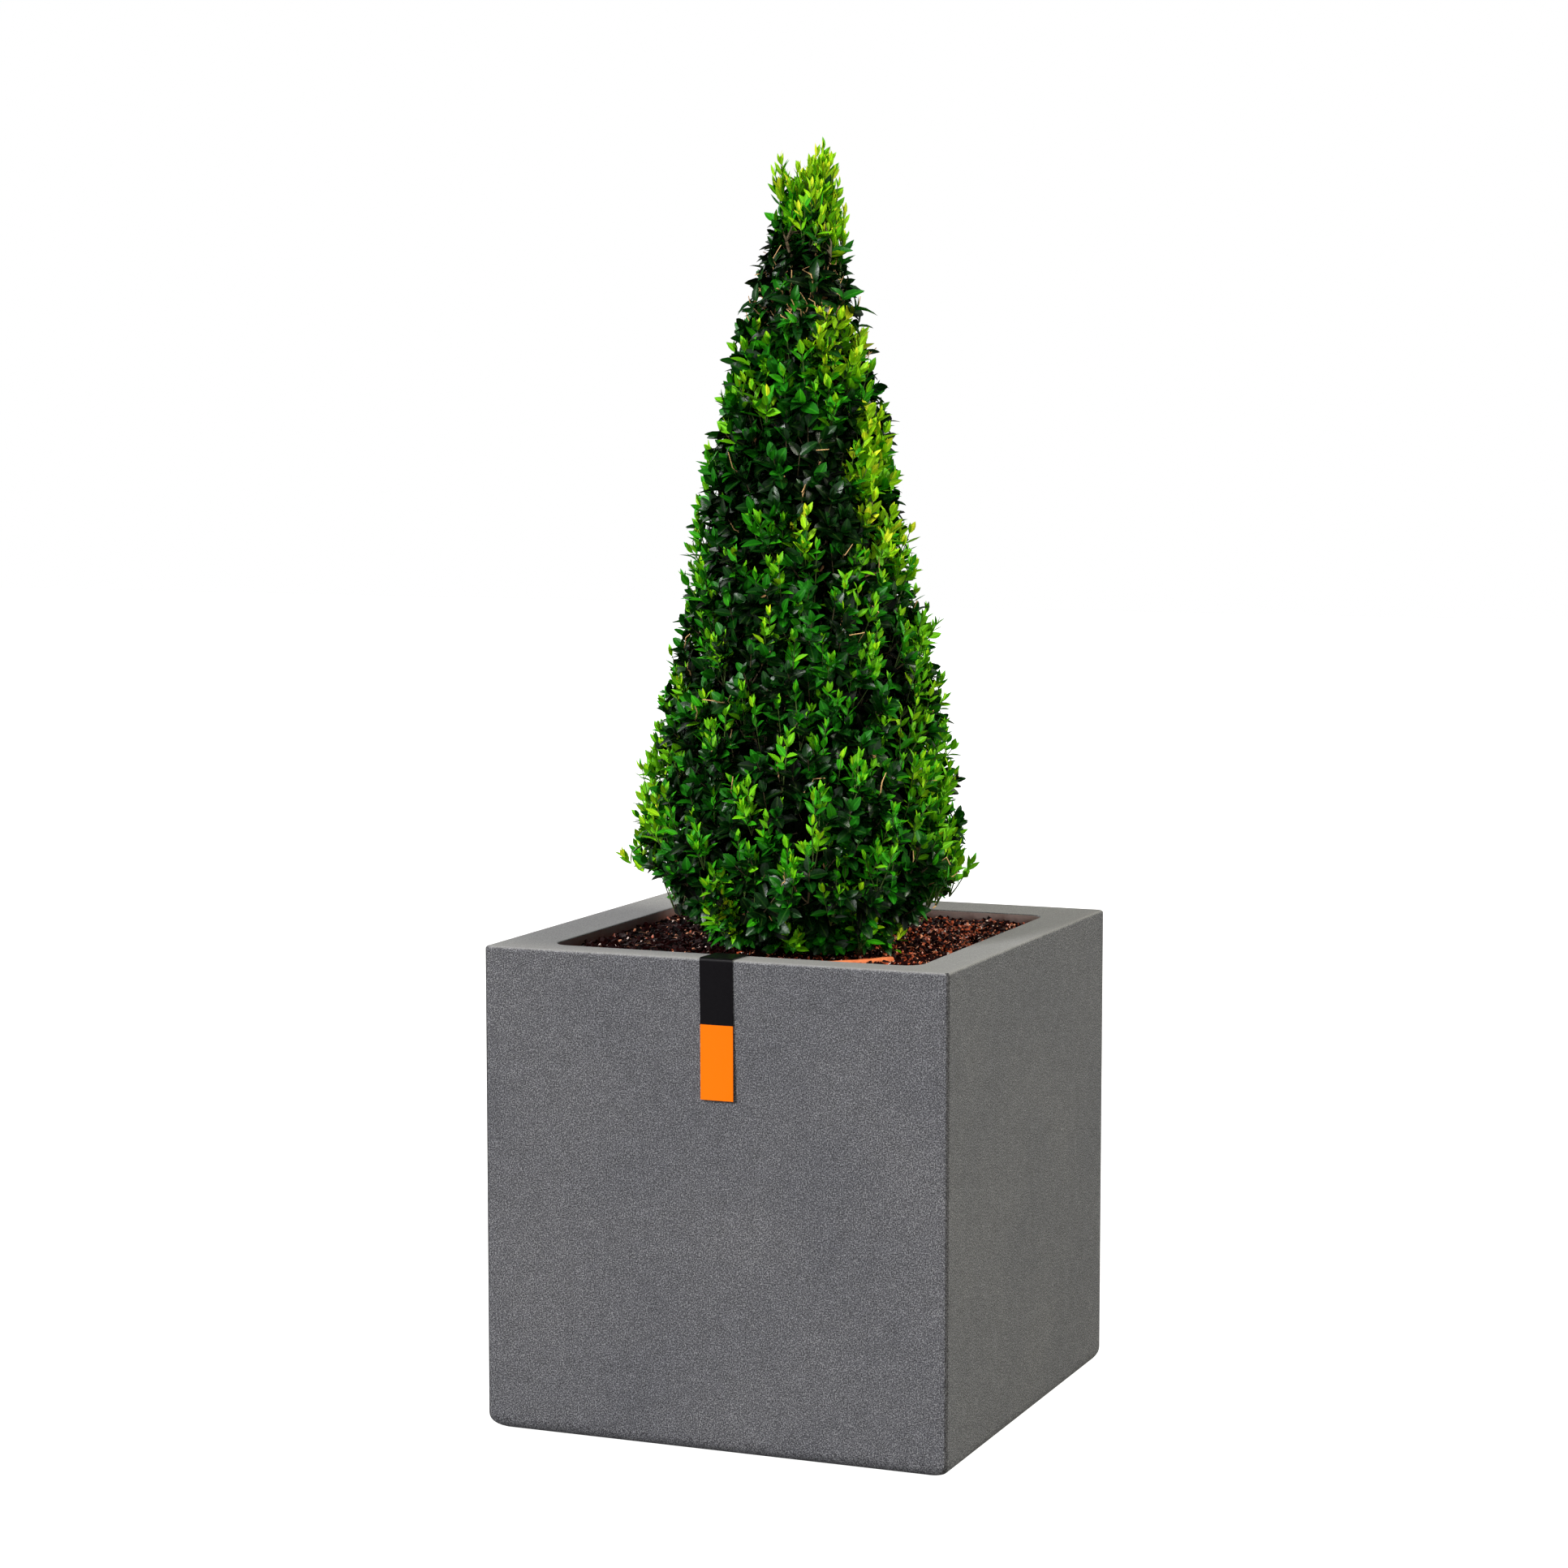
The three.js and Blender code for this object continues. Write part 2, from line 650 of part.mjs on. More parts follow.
const topiary = new THREE.Group();
topiary.add(planterGroup());
topiary.add(plantGroup());

export default topiary;
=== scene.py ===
import math
from collections import namedtuple

import bpy
import numpy as np
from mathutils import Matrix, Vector


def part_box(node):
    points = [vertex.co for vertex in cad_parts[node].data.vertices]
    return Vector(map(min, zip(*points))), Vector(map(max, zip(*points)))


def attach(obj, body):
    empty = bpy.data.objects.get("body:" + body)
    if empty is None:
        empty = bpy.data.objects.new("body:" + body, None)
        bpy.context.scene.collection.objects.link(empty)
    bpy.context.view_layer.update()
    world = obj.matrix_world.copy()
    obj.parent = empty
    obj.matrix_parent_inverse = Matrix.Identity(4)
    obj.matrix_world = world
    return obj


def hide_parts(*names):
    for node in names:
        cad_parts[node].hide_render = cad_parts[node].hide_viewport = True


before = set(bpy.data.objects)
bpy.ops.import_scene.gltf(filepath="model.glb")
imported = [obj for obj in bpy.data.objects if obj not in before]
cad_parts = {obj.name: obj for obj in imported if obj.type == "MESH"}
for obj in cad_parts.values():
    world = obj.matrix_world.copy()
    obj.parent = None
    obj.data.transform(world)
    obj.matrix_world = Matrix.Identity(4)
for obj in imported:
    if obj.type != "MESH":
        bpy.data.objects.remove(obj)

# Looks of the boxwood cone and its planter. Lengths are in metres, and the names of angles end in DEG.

MM = 0.001
UP = np.array((0, 0, 1))
GOLDEN_ANGLE = math.pi * (3 - math.sqrt(5))
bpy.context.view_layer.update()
OBJECT_BODY = "root"
SEEDS = {
    "mix": 5, "mix_fine": 6, "bark": 21, "bark_fine": 22, "chips": 40, "fibres": 50, "clumps": 71,
    "dried": 77, "stubs": 78, "layers": 100, "hem": 139, "tuft": 140, "foot": 141,
}

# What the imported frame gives
PLANTER_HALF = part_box("planter")[1].x
RIM_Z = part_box("planter")[1].z
MIX_LOW, MIX_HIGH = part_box("potting_mix")
TAG_LOW_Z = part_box("rim_tag")[0].z
POT_RIM_LOW, POT_RIM_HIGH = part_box("grower_pot_rim")
STEM_LOW, STEM_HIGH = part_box("stem")
CROWN_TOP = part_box("foliage_tip")[1].z
MASSES = ("foliage_skirt", "foliage_middle", "foliage_upper", "foliage_tip")

# Levels and places that several parts share, as in the part's source
CAVITY_HALF = PLANTER_HALF - 41 * MM
SOIL_LEVEL = 389 * MM
SOIL_HALF = MIX_HIGH.x
PLANT_X = (STEM_LOW.x + STEM_HIGH.x) / 2
PLANT_Y = (STEM_LOW.y + STEM_HIGH.y) / 2
STEM_FOOT_RADIUS = 15 * MM


def smoothstep(value, low, high):
    share = np.clip((value - low) / (high - low), 0, 1)
    return share * share * (3 - 2 * share)


def band(value, edges):
    """1 between the two middle edges, falling to 0 at the outer ones."""
    return smoothstep(value, *edges[:2]) * (1 - smoothstep(value, *edges[2:]))


def blend(low, high, share):
    return low + (high - low) * share


def unit(vectors):
    vectors = np.asarray(vectors, float)
    return vectors / np.maximum(np.linalg.norm(vectors, axis=-1, keepdims=True), 1e-12)


def square_to(vectors, axes):
    """The vectors with what they have along the unit axes taken out, as unit vectors."""
    along = np.sum(vectors * axes, axis=-1, keepdims=True)
    return unit(vectors - along * axes)


def outward(turn, rise=0):
    """Unit vectors that point away from the plant at a turn, raised by an angle."""
    rise = rise + 0 * turn
    return np.stack([np.cos(rise) * np.cos(turn), np.cos(rise) * np.sin(turn), np.sin(rise)], axis=-1)


def curves(steps, *controls):
    """Bezier curves (count, steps, 3) from control points that each are (count, 3)."""
    share = np.linspace(0, 1, steps)[None, :, None]
    last = len(controls) - 1
    return sum(
        math.comb(last, index) * (1 - share) ** (last - index) * share**index * control[:, None]
        for index, control in enumerate(controls)
    )


LATTICE = 64


def value_noise(x, y, cell, seed):
    """Smooth noise from 0 to 1 over a plane, with bumps about a cell wide."""
    lattice = np.random.default_rng(SEEDS[seed]).random((LATTICE, LATTICE))
    across, along = x / cell + LATTICE / 2, y / cell + LATTICE / 2
    left, low = np.floor(across).astype(int), np.floor(along).astype(int)
    share_x, share_y = smoothstep(across - left, 0, 1), smoothstep(along - low, 0, 1)
    rows = [
        blend(*(lattice[(left + i) % LATTICE, (low + j) % LATTICE] for i in (0, 1)), share_x) for j in (0, 1)
    ]
    return blend(*rows, share_y)


# Meshes from arrays


def new_piece(name, points, faces, materials, face_slots=None, smooth=True):
    """A mesh object from points (n, 3) and faces, a list of index arrays that each have their own width."""
    points = np.asarray(points, np.float32).reshape(-1, 3)
    groups = [np.asarray(group, np.int32) for group in faces if len(group)]
    sizes = np.concatenate([np.full(len(group), group.shape[1], np.int32) for group in groups])
    corners = np.concatenate([group.ravel() for group in groups])
    mesh = bpy.data.meshes.new(name)
    mesh.vertices.add(len(points))
    mesh.vertices.foreach_set("co", points.ravel())
    mesh.loops.add(len(corners))
    mesh.loops.foreach_set("vertex_index", corners)
    mesh.polygons.add(len(sizes))
    mesh.polygons.foreach_set("loop_start", (np.cumsum(sizes) - sizes).astype(np.int32))
    if face_slots is not None:
        mesh.polygons.foreach_set("material_index", np.asarray(face_slots, np.int32))
    mesh.polygons.foreach_set("use_smooth", np.full(len(sizes), smooth))
    mesh.update(calc_edges=True)
    mesh.validate()
    for material in materials:
        mesh.materials.append(material)
    piece = bpy.data.objects.new(name, mesh)
    bpy.context.scene.collection.objects.link(piece)
    return piece


def finish_piece(piece, slot, *nodes):
    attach(piece, OBJECT_BODY)
    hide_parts(*nodes)


def strip_quads(grid):
    """Quads between the rows of a grid of point numbers, (..., rows, around), each row closed on itself."""
    nearby = np.roll(grid, -1, axis=-1)
    corners = [grid[..., :-1, :], nearby[..., :-1, :], nearby[..., 1:, :], grid[..., 1:, :]]
    return np.stack(corners, axis=-1).reshape(-1, 4)


def loft_faces(rings, around):
    """Quads between rings that follow each other, with as many points in each, and a face at each end."""
    grid = np.arange(rings * around).reshape(rings, around)
    return [strip_quads(grid), grid[:1, ::-1], grid[-1:]]


def tubes(paths, radii, sides):
    """Points and quads of tubes along paths (count, steps, 3) with radii (count, steps)."""
    tangents = unit(np.gradient(paths, axis=1))
    across = unit(np.cross(tangents, (0.31, 0.52, 0.795)))
    other = np.cross(tangents, across)
    turns = np.linspace(0, 2 * math.pi, sides, endpoint=False)[:, None]
    ring = np.cos(turns) * across[:, :, None] + np.sin(turns) * other[:, :, None]
    points = paths[:, :, None] + radii[:, :, None, None] * ring
    grid = np.arange(radii.size * sides).reshape(*radii.shape, sides)
    return points.reshape(-1, 3), strip_quads(grid)


# Materials


def new_material(name, colour, roughness, specular):
    material = bpy.data.materials.new(name)
    material.use_nodes = True
    shader = material.node_tree.nodes["Principled BSDF"]
    shader.inputs["Base Color"].default_value = (*colour, 1)
    shader.inputs["Roughness"].default_value = roughness
    shader.inputs["Specular IOR Level"].default_value = specular
    return material, material.node_tree, shader


def add_node(tree, kind, **values):
    """A shader node. Values for its inputs, by name, are sockets to link or plain values."""
    node = tree.nodes.new("ShaderNode" + kind)
    for name, value in values.items():
        if isinstance(value, bpy.types.NodeSocket):
            tree.links.new(value, node.inputs[name])
        else:
            node.inputs[name].default_value = value
    return node


def object_places(tree):
    return add_node(tree, "TexCoord").outputs["Object"]


def object_noise(tree, scale, detail, roughness, stretch=None):
    """Noise over the object's own coordinates, in bumps of about 1 / scale metres."""
    places = object_places(tree)
    if stretch:
        places = add_node(tree, "Mapping", Vector=places, Scale=stretch).outputs["Vector"]
    noise = add_node(tree, "TexNoise", Vector=places, Scale=scale, Detail=detail, Roughness=roughness)
    return noise.outputs["Fac"]


def spread(tree, source, low, high, to_low, to_high):
    """The source's range from low to high mapped to another range."""
    ends = {"From Min": low, "From Max": high, "To Min": to_low, "To Max": to_high}
    return add_node(tree, "MapRange", Value=source, **ends).outputs["Result"]


def colour_steps(tree, source, steps):
    """A colour ramp over the source, with steps of (place, colour)."""
    ramp = add_node(tree, "ValToRGB", Fac=source)
    elements = ramp.color_ramp.elements
    while len(elements) < len(steps):
        elements.new(0.5)
    for element, (place, colour) in zip(elements, steps):
        element.position = place
        element.color = (*colour, 1)
    return ramp.outputs["Color"]


def mix_colours(tree, share, first, second, way="MIX"):
    node = tree.nodes.new("ShaderNodeMix")
    node.data_type = "RGBA"
    node.blend_type = way
    for socket, value in (("Factor_Float", share), ("A_Color", first), ("B_Color", second)):
        target = next(s for s in node.inputs if s.identifier == socket)
        if isinstance(value, bpy.types.NodeSocket):
            tree.links.new(value, target)
        else:
            target.default_value = value
    return next(s for s in node.outputs if s.identifier == "Result_Color")


def add_bump(tree, shader, height, distance, strength):
    bump = add_node(tree, "Bump", Height=height, Strength=strength, Distance=distance)
    tree.links.new(bump.outputs["Normal"], shader.inputs["Normal"])


# Where the planter's inside is stained by the mix, and where the inside wall, the ground and the chips go from
# painted shade on the left to lighter colours on the right, the wall's lighter colour being painted light
STAIN_Z = (SOIL_LEVEL - 1 * MM, SOIL_LEVEL + 6 * MM)
PAINTED_WALL_SHADE_X = (-CAVITY_HALF + 4 * MM, -CAVITY_HALF + 60 * MM)
PAINTED_GROUND_SHADE_X = (-60 * MM, 40 * MM)
PAINTED_CHIP_SHADE_X = (-50 * MM, 50 * MM)


def planter_material(name, stained):
    """Matt grey composite: light and dark grains, soft clouds, dust and painted top light on what faces up, and a
    slightly pitted face.
    """
    material, tree, shader = new_material(name, (0.12, 0.118, 0.13), 0.62, 0.25)
    grain = object_noise(tree, 1000, 1, 0.5)
    colour = colour_steps(tree, grain, (
        (0.36, (0.028, 0.027, 0.031)),
        (0.48, (0.072, 0.071, 0.081)),
        (0.56, (0.106, 0.105, 0.118)),
        (0.68, (0.235, 0.235, 0.250)),
    ))
    for size, light in ((620, 0.27), (480, 0.29)):
        dots = add_node(tree, "TexVoronoi", Vector=object_places(tree), Scale=size).outputs["Distance"]
        flecks = colour_steps(tree, dots, ((0.08, (1, 1, 1)), (0.26, (0, 0, 0))))
        colour = mix_colours(tree, flecks, colour, (light, light, light * 1.04, 1))
    for noise, *steps in (
        ((9, 4, 0.55), (0.3, (0.84, 0.85, 0.86)), (0.7, (1.0, 1.0, 0.98))),
        ((75, 3, 0.6), (0.32, (0.88, 0.88, 0.87)), (0.68, (1.08, 1.08, 1.08))),
    ):
        clouds = colour_steps(tree, object_noise(tree, *noise), steps)
        colour = mix_colours(tree, 1.0, colour, clouds, "MULTIPLY")
    # Painted top light: what faces up gets a lighter colour, which also stands for dust
    facing = add_node(tree, "SeparateXYZ", Vector=add_node(tree, "NewGeometry").outputs["Normal"])
    dust_and_top_light = spread(tree, facing.outputs["Z"], 0.35, 0.95, 0.0, 0.5)
    colour = mix_colours(tree, dust_and_top_light, colour, (0.455, 0.447, 0.442, 1))
    if stained:
        place = add_node(tree, "SeparateXYZ", Vector=object_places(tree)).outputs
        wander = spread(tree, object_noise(tree, 60, 3, 0.6), 0.3, 0.7, -0.4, 0.4)
        stain = spread(tree, place["Z"], *STAIN_Z, 1.0, 0.0)
        # Painted shade and light on the inside wall: dark on the left, where shadow falls, and a light pink to the
        # right that stands in for light on the back wall
        lit_share = spread(tree, place["X"], *PAINTED_WALL_SHADE_X, 0.0, 1.0)
        painted_wall_light = mix_colours(tree, lit_share, (0.230, 0.150, 0.145, 1), (0.860, 0.660, 0.620, 1))
        total = tree.nodes.new("ShaderNodeMath")
        total.operation = "ADD"
        total.use_clamp = True
        tree.links.new(stain, total.inputs[0])
        tree.links.new(wander, total.inputs[1])
        colour = mix_colours(tree, 0.9, colour, painted_wall_light)
        colour = mix_colours(tree, total.outputs[0], colour, (0.210, 0.085, 0.070, 1))
    tree.links.new(colour, shader.inputs["Base Color"])
    tree.links.new(spread(tree, grain, 0.3, 0.7, 0.7, 0.5), shader.inputs["Roughness"])
    add_bump(tree, shader, object_noise(tree, 1500, 1, 0.5), 0.12 * MM, 0.5)
    return material


def mix_material():
    material, tree, shader = new_material("mix_ground", (0.02, 0.004, 0.002), 0.9, 0.05)
    ground = colour_steps(tree, object_noise(tree, 260, 4, 0.6), (
        (0.35, (0.004, 0.001, 0.001)),
        (0.65, (0.030, 0.004, 0.002)),
    ))
    place = add_node(tree, "SeparateXYZ", Vector=object_places(tree)).outputs
    # Painted shade: the ground turns near black towards the left, where shadow falls
    lit_share = spread(tree, place["X"], *PAINTED_GROUND_SHADE_X, 0.0, 1.0)
    ground = mix_colours(tree, lit_share, (0.002, 0.0005, 0.0005, 1), ground)
    tree.links.new(ground, shader.inputs["Base Color"])
    add_bump(tree, shader, object_noise(tree, 420, 4, 0.7), 1.2 * MM, 1.0)
    return material


# Materials whose colour follows one noise: the plain look, the noise, its colours, the relief's noise where it has
# its own, and the relief's depth and strength
PATTERNED = {
    "planter_edge": (
        ((0.06, 0.058, 0.062), 0.7, 0.2), (800, 1, 0.5),
        ((0.40, (0.026, 0.025, 0.028)), (0.62, (0.085, 0.083, 0.088))),
        None, (0.12 * MM, 0.5),
    ),
    "terracotta": (
        ((0.75, 0.2, 0.06), 0.75, 0.3), (120, 4, 0.6),
        ((0.3, (0.55, 0.13, 0.045)), (0.7, (0.80, 0.22, 0.075))),
        (700, 3, 0.6), (0.4 * MM, 0.5),
    ),
    "bark": (
        ((0.16, 0.12, 0.07), 0.85, 0.25), (420, 4, 0.6, (1.0, 1.0, 0.22)),
        ((0.32, (0.050, 0.034, 0.020)), (0.52, (0.150, 0.110, 0.065)), (0.70, (0.270, 0.220, 0.140))),
        None, (0.8 * MM, 0.8),
    ),
}


def patterned_material(name):
    look, noise, steps, relief_noise, relief = PATTERNED[name]
    material, tree, shader = new_material(name, *look)
    pattern = object_noise(tree, *noise)
    tree.links.new(colour_steps(tree, pattern, steps), shader.inputs["Base Color"])
    add_bump(tree, shader, object_noise(tree, *relief_noise) if relief_noise else pattern, *relief)
    return material


# Fine grain of the plainly coloured materials: its noise, how far it takes the roughness down and up, and the
# depth and strength of its relief
GRAINS = {
    "chip": ((900, 3, 0.6), 0.12, 0.12, (0.4 * MM, 0.7)),
    "tag": ((500, 2, 0.5), 0.05, 0.06, (0.1 * MM, 0.3)),
    "twig": ((800, 3, 0.6), 0.10, 0.12, (0.2 * MM, 0.6)),
    "leaf": ((380, 2, 0.5), 0.08, 0.10, (0.5 * MM, 0.5)),
}


def grained_material(kind, name, colour, roughness, specular):
    """A plain base colour, with the kind's grain in the gloss and the relief."""
    noise, less, more, relief = GRAINS[kind]
    material, tree, shader = new_material(f"{kind}_{name}", colour, roughness, specular)
    grain = object_noise(tree, *noise)
    gloss = spread(tree, grain, 0.3, 0.7, roughness - less, roughness + more)
    tree.links.new(gloss, shader.inputs["Roughness"])
    add_bump(tree, shader, grain, *relief)
    return material


# Planter

CAVITY_FLOOR = 40 * MM
UPRIGHT_EDGE_RADIUS = 4 * MM
BOTTOM_EDGE_RADIUS = 13 * MM
BOTTOM_CORNER_GROWTH = 0.5
RIM_OUTER_RADIUS = 2.5 * MM
RIM_INNER_RADIUS = 1.5 * MM
RIM_FALL = 2 * MM
CAVITY_CORNER_RADIUS = 16 * MM
EDGE_SUPPORT = 3 * MM
QUARTER = np.linspace(0, math.pi / 2, 9)
SIDE_SHARES = np.array((0.012, 0.17, 0.34, 0.5, 0.66, 0.83, 0.988))
OUTSIDE_RINGS = 12
INSIDE_RINGS = 6
RINGS_BEFORE_CAVITY = 3

# The rows and, on each corner, the columns of faces that get a darker line along an upright edge
EDGE_LINE_ROWS = slice(2, 28)
EDGE_LINE_COLUMNS = (2, len(QUARTER) - 3)


def square_ring(half, radius, z):
    """Points round a square with rounded corners, anticlockwise from above."""
    points = []
    for corner in range(4):
        start = corner * math.pi / 2
        reach = (half - radius) * math.sqrt(2)
        centre = reach * np.array((math.cos(start + math.pi / 4), math.sin(start + math.pi / 4)))
        arc = centre + radius * np.stack([np.cos(start + QUARTER), np.sin(start + QUARTER)], axis=1)
        along = 2 * (half - radius) * np.array((-math.cos(start), -math.sin(start)))
        points += [arc, arc[-1] + along * SIDE_SHARES[:, None]]
    flat = np.concatenate(points)
    return np.column_stack([flat, np.full(len(flat), z)])


def planter_rings():
    """Rings from the underside up the outside, over the rim and down inside, and the first ring of the inside."""
    fillet = [(1 - math.sin(turn), 1 - math.cos(turn)) for turn in QUARTER]
    rings = []
    for rest, gone in fillet:
        inset = BOTTOM_EDGE_RADIUS * rest
        radius = UPRIGHT_EDGE_RADIUS + BOTTOM_CORNER_GROWTH * inset
        rings.append((PLANTER_HALF - inset, radius, BOTTOM_EDGE_RADIUS * gone))
    low, high = BOTTOM_EDGE_RADIUS + EDGE_SUPPORT, RIM_Z - RIM_OUTER_RADIUS - EDGE_SUPPORT
    rings += [(PLANTER_HALF, UPRIGHT_EDGE_RADIUS, z) for z in np.linspace(low, high, OUTSIDE_RINGS)]
    for rest, gone in fillet:
        rings.append((PLANTER_HALF - RIM_OUTER_RADIUS * gone, UPRIGHT_EDGE_RADIUS, RIM_Z - RIM_OUTER_RADIUS * rest))
    outer = PLANTER_HALF - RIM_OUTER_RADIUS - EDGE_SUPPORT
    inner = CAVITY_HALF + RIM_INNER_RADIUS + EDGE_SUPPORT
    for share in (0, 0.5, 1):
        radius = blend(UPRIGHT_EDGE_RADIUS, CAVITY_CORNER_RADIUS, share)
        rings.append((blend(outer, inner, share), radius, RIM_Z - RIM_FALL * share))
    for rest, gone in fillet:
        z = RIM_Z - RIM_FALL - RIM_INNER_RADIUS * gone
        rings.append((CAVITY_HALF + RIM_INNER_RADIUS * rest, CAVITY_CORNER_RADIUS, z))
    inside = len(rings) - RINGS_BEFORE_CAVITY
    high = RIM_Z - RIM_FALL - RIM_INNER_RADIUS - EDGE_SUPPORT
    rings += [(CAVITY_HALF, CAVITY_CORNER_RADIUS, z) for z in np.linspace(high, CAVITY_FLOOR, INSIDE_RINGS)]
    return [square_ring(*ring) for ring in rings], inside


def build_planter():
    rings, inside = planter_rings()
    around = len(rings[0])
    slots = np.zeros((len(rings) - 1, around), int)
    slots[inside:] = 1
    place = np.arange(around) % (around // 4)
    slots[EDGE_LINE_ROWS, (place >= EDGE_LINE_COLUMNS[0]) & (place < EDGE_LINE_COLUMNS[1])] = 2
    slots = np.concatenate([slots.ravel(), [0, 1]])
    materials = [
        planter_material("planter_stone", False),
        planter_material("planter_inside", True),
        patterned_material("planter_edge"),
    ]
    faces = loft_faces(len(rings), around)
    finish_piece(new_piece("planter_body", rings, faces, materials, slots), "planter", "planter")


# Potting mix

SOIL_GAP = 0.3 * MM
SOIL_BACK_RISE = 3 * MM
SOIL_LEFT_RISE = 2.5 * MM
SOIL_ROUGHNESS = 3.2 * MM
SOIL_CELLS = 110
EDGE_GAP = 3 * MM

# Bark chips: how many, their look, their lengths in millimetres, how thin they are and what share of them stays
# on the left, where fewer light chips paint the shade
Chips = namedtuple("Chips", "amount look lengths thin moist")
CHIPS = {
    "dark": Chips(4200, ((0.011, 0.001, 0.001), 0.5, 0.06), (3, 8), 0.35, 1),
    "red": Chips(4400, ((0.420, 0.080, 0.030), 0.3, 0.35), (2, 5.5), 0.35, 0.04),
    "tan": Chips(1700, ((0.880, 0.370, 0.210), 0.3, 0.35), (1.6, 4.4), 0.3, 0.28),
    # The pale chips stand for perlite flecks and also for painted glints on the chips
    "pale": Chips(750, ((0.950, 0.740, 0.660), 0.4, 0.3), (1.2, 3.2), 0.6, 0.6),
}
CHIP_TILT = 0.6
CHIP_CORNERS = np.array([[x, y, z] for z in (-1, 1) for y in (-1, 1) for x in (-1, 1)], float)
CHIP_FACES = np.array([(0, 2, 3, 1), (4, 5, 7, 6), (0, 1, 5, 4), (2, 6, 7, 3), (0, 4, 6, 2), (1, 3, 7, 5)])
FIBRES = 420
FIBRE_STEPS = 6
FIBRE_RADIUS = 0.25 * MM
FIBRE_LOOK = ((0.20, 0.085, 0.04), 0.7, 0.3)


def soil_height(x, y):
    rise = SOIL_BACK_RISE * smoothstep(y, 0.3 * CAVITY_HALF, CAVITY_HALF)
    rise = np.maximum(rise, SOIL_LEFT_RISE * smoothstep(-x, 0.6 * CAVITY_HALF, CAVITY_HALF))
    rough = 0.6 * value_noise(x, y, 14 * MM, "mix") + 0.4 * value_noise(x, y, 5 * MM, "mix_fine")
    return SOIL_LEVEL - SOIL_GAP + rise - SOIL_ROUGHNESS * rough


def build_mix_bed():
    places = np.linspace(-SOIL_HALF, SOIL_HALF, SOIL_CELLS + 1)
    x, y = np.meshgrid(places, places, indexing="ij")
    top = np.stack([x, y, soil_height(x, y)], axis=-1).reshape(-1, 3)
    grid = np.arange(len(top)).reshape(len(places), len(places))
    cells = np.stack([grid[:-1, :-1], grid[1:, :-1], grid[1:, 1:], grid[:-1, 1:]], axis=-1).reshape(-1, 4)
    edge = np.concatenate([grid[:-1, 0], grid[-1, :-1], grid[:0:-1, -1], grid[0, :0:-1]])
    foot = top[edge].copy()
    foot[:, 2] = MIX_LOW.z
    below = len(top) + np.arange(len(edge))
    walls = np.stack([below, np.roll(below, -1), np.roll(edge, -1), edge], axis=-1)
    faces = [cells, walls, below[None, ::-1]]
    piece = new_piece("mix_bed", np.concatenate([top, foot]), faces, [mix_material()])
    finish_piece(piece, "potting_mix", "potting_mix")


def scatter_on_mix(rng, count):
    """Places on the mix inside the walls, away from the stem."""
    margin = SOIL_HALF - EDGE_GAP
    places = rng.uniform(-margin, margin, (count * 2, 2))
    from_stem = np.hypot(places[:, 0] - PLANT_X, places[:, 1] - PLANT_Y)
    return places[from_stem > STEM_FOOT_RADIUS * 1.2][:count]


def lying_axes(rng, count):
    """Three unit axes for each chip: along, across and up, tilted a little from flat."""
    heading = rng.uniform(0, 2 * math.pi, count)
    lean = rng.normal(0, CHIP_TILT, (count, 2))
    along = unit(np.column_stack([np.cos(heading), np.sin(heading), np.tan(np.clip(lean[:, 0], -1.2, 1.2))]))
    up = np.column_stack([lean[:, 1] * np.sin(heading), -lean[:, 1] * np.cos(heading), np.ones(count)])
    up = square_to(up, along)
    return along, np.cross(up, along), up


def build_chips(name, seed):
    """Irregular bark chips that lie on the mix, half sunk in it, with fewer light ones on the left as painted shade.
    """
    rng = np.random.default_rng(seed)
    chips = CHIPS[name]
    places = scatter_on_mix(rng, chips.amount)
    # Painted shade: fewer light chips towards the left, where shadow falls
    if chips.moist < 1:
        dry = blend(chips.moist, 1.0, smoothstep(places[:, 0], *PAINTED_CHIP_SHADE_X))
        places = places[rng.random(len(places)) < dry]
    count = len(places)
    axes = lying_axes(rng, count)
    length = rng.uniform(*chips.lengths, count) * MM
    width = length * rng.uniform(0.35, 0.75, count)
    thick = width * chips.thin * rng.uniform(0.7, 1.4, count)
    centre = np.column_stack([places, soil_height(*places.T) + thick * rng.uniform(0.1, 1.1, count)])
    centre[:, 2] = np.minimum(centre[:, 2], SOIL_LEVEL + SOIL_BACK_RISE)
    corners = CHIP_CORNERS * rng.uniform(0.45, 1.0, (count, 8, 3)) / 2
    points = centre[:, None] + sum(
        corners[:, :, part, None] * (size[:, None] * axis)[:, None]
        for part, (axis, size) in enumerate(zip(axes, (length, width, thick)))
    )
    points[:, :, :2] = np.clip(points[:, :, :2], -SOIL_HALF, SOIL_HALF)
    faces = (np.arange(count)[:, None, None] * 8 + CHIP_FACES).reshape(-1, 4)
    material = grained_material("chip", name, *chips.look)
    piece = new_piece("bark_chips_" + name, points, [faces], [material], smooth=False)
    finish_piece(piece, "potting_mix", "potting_mix")


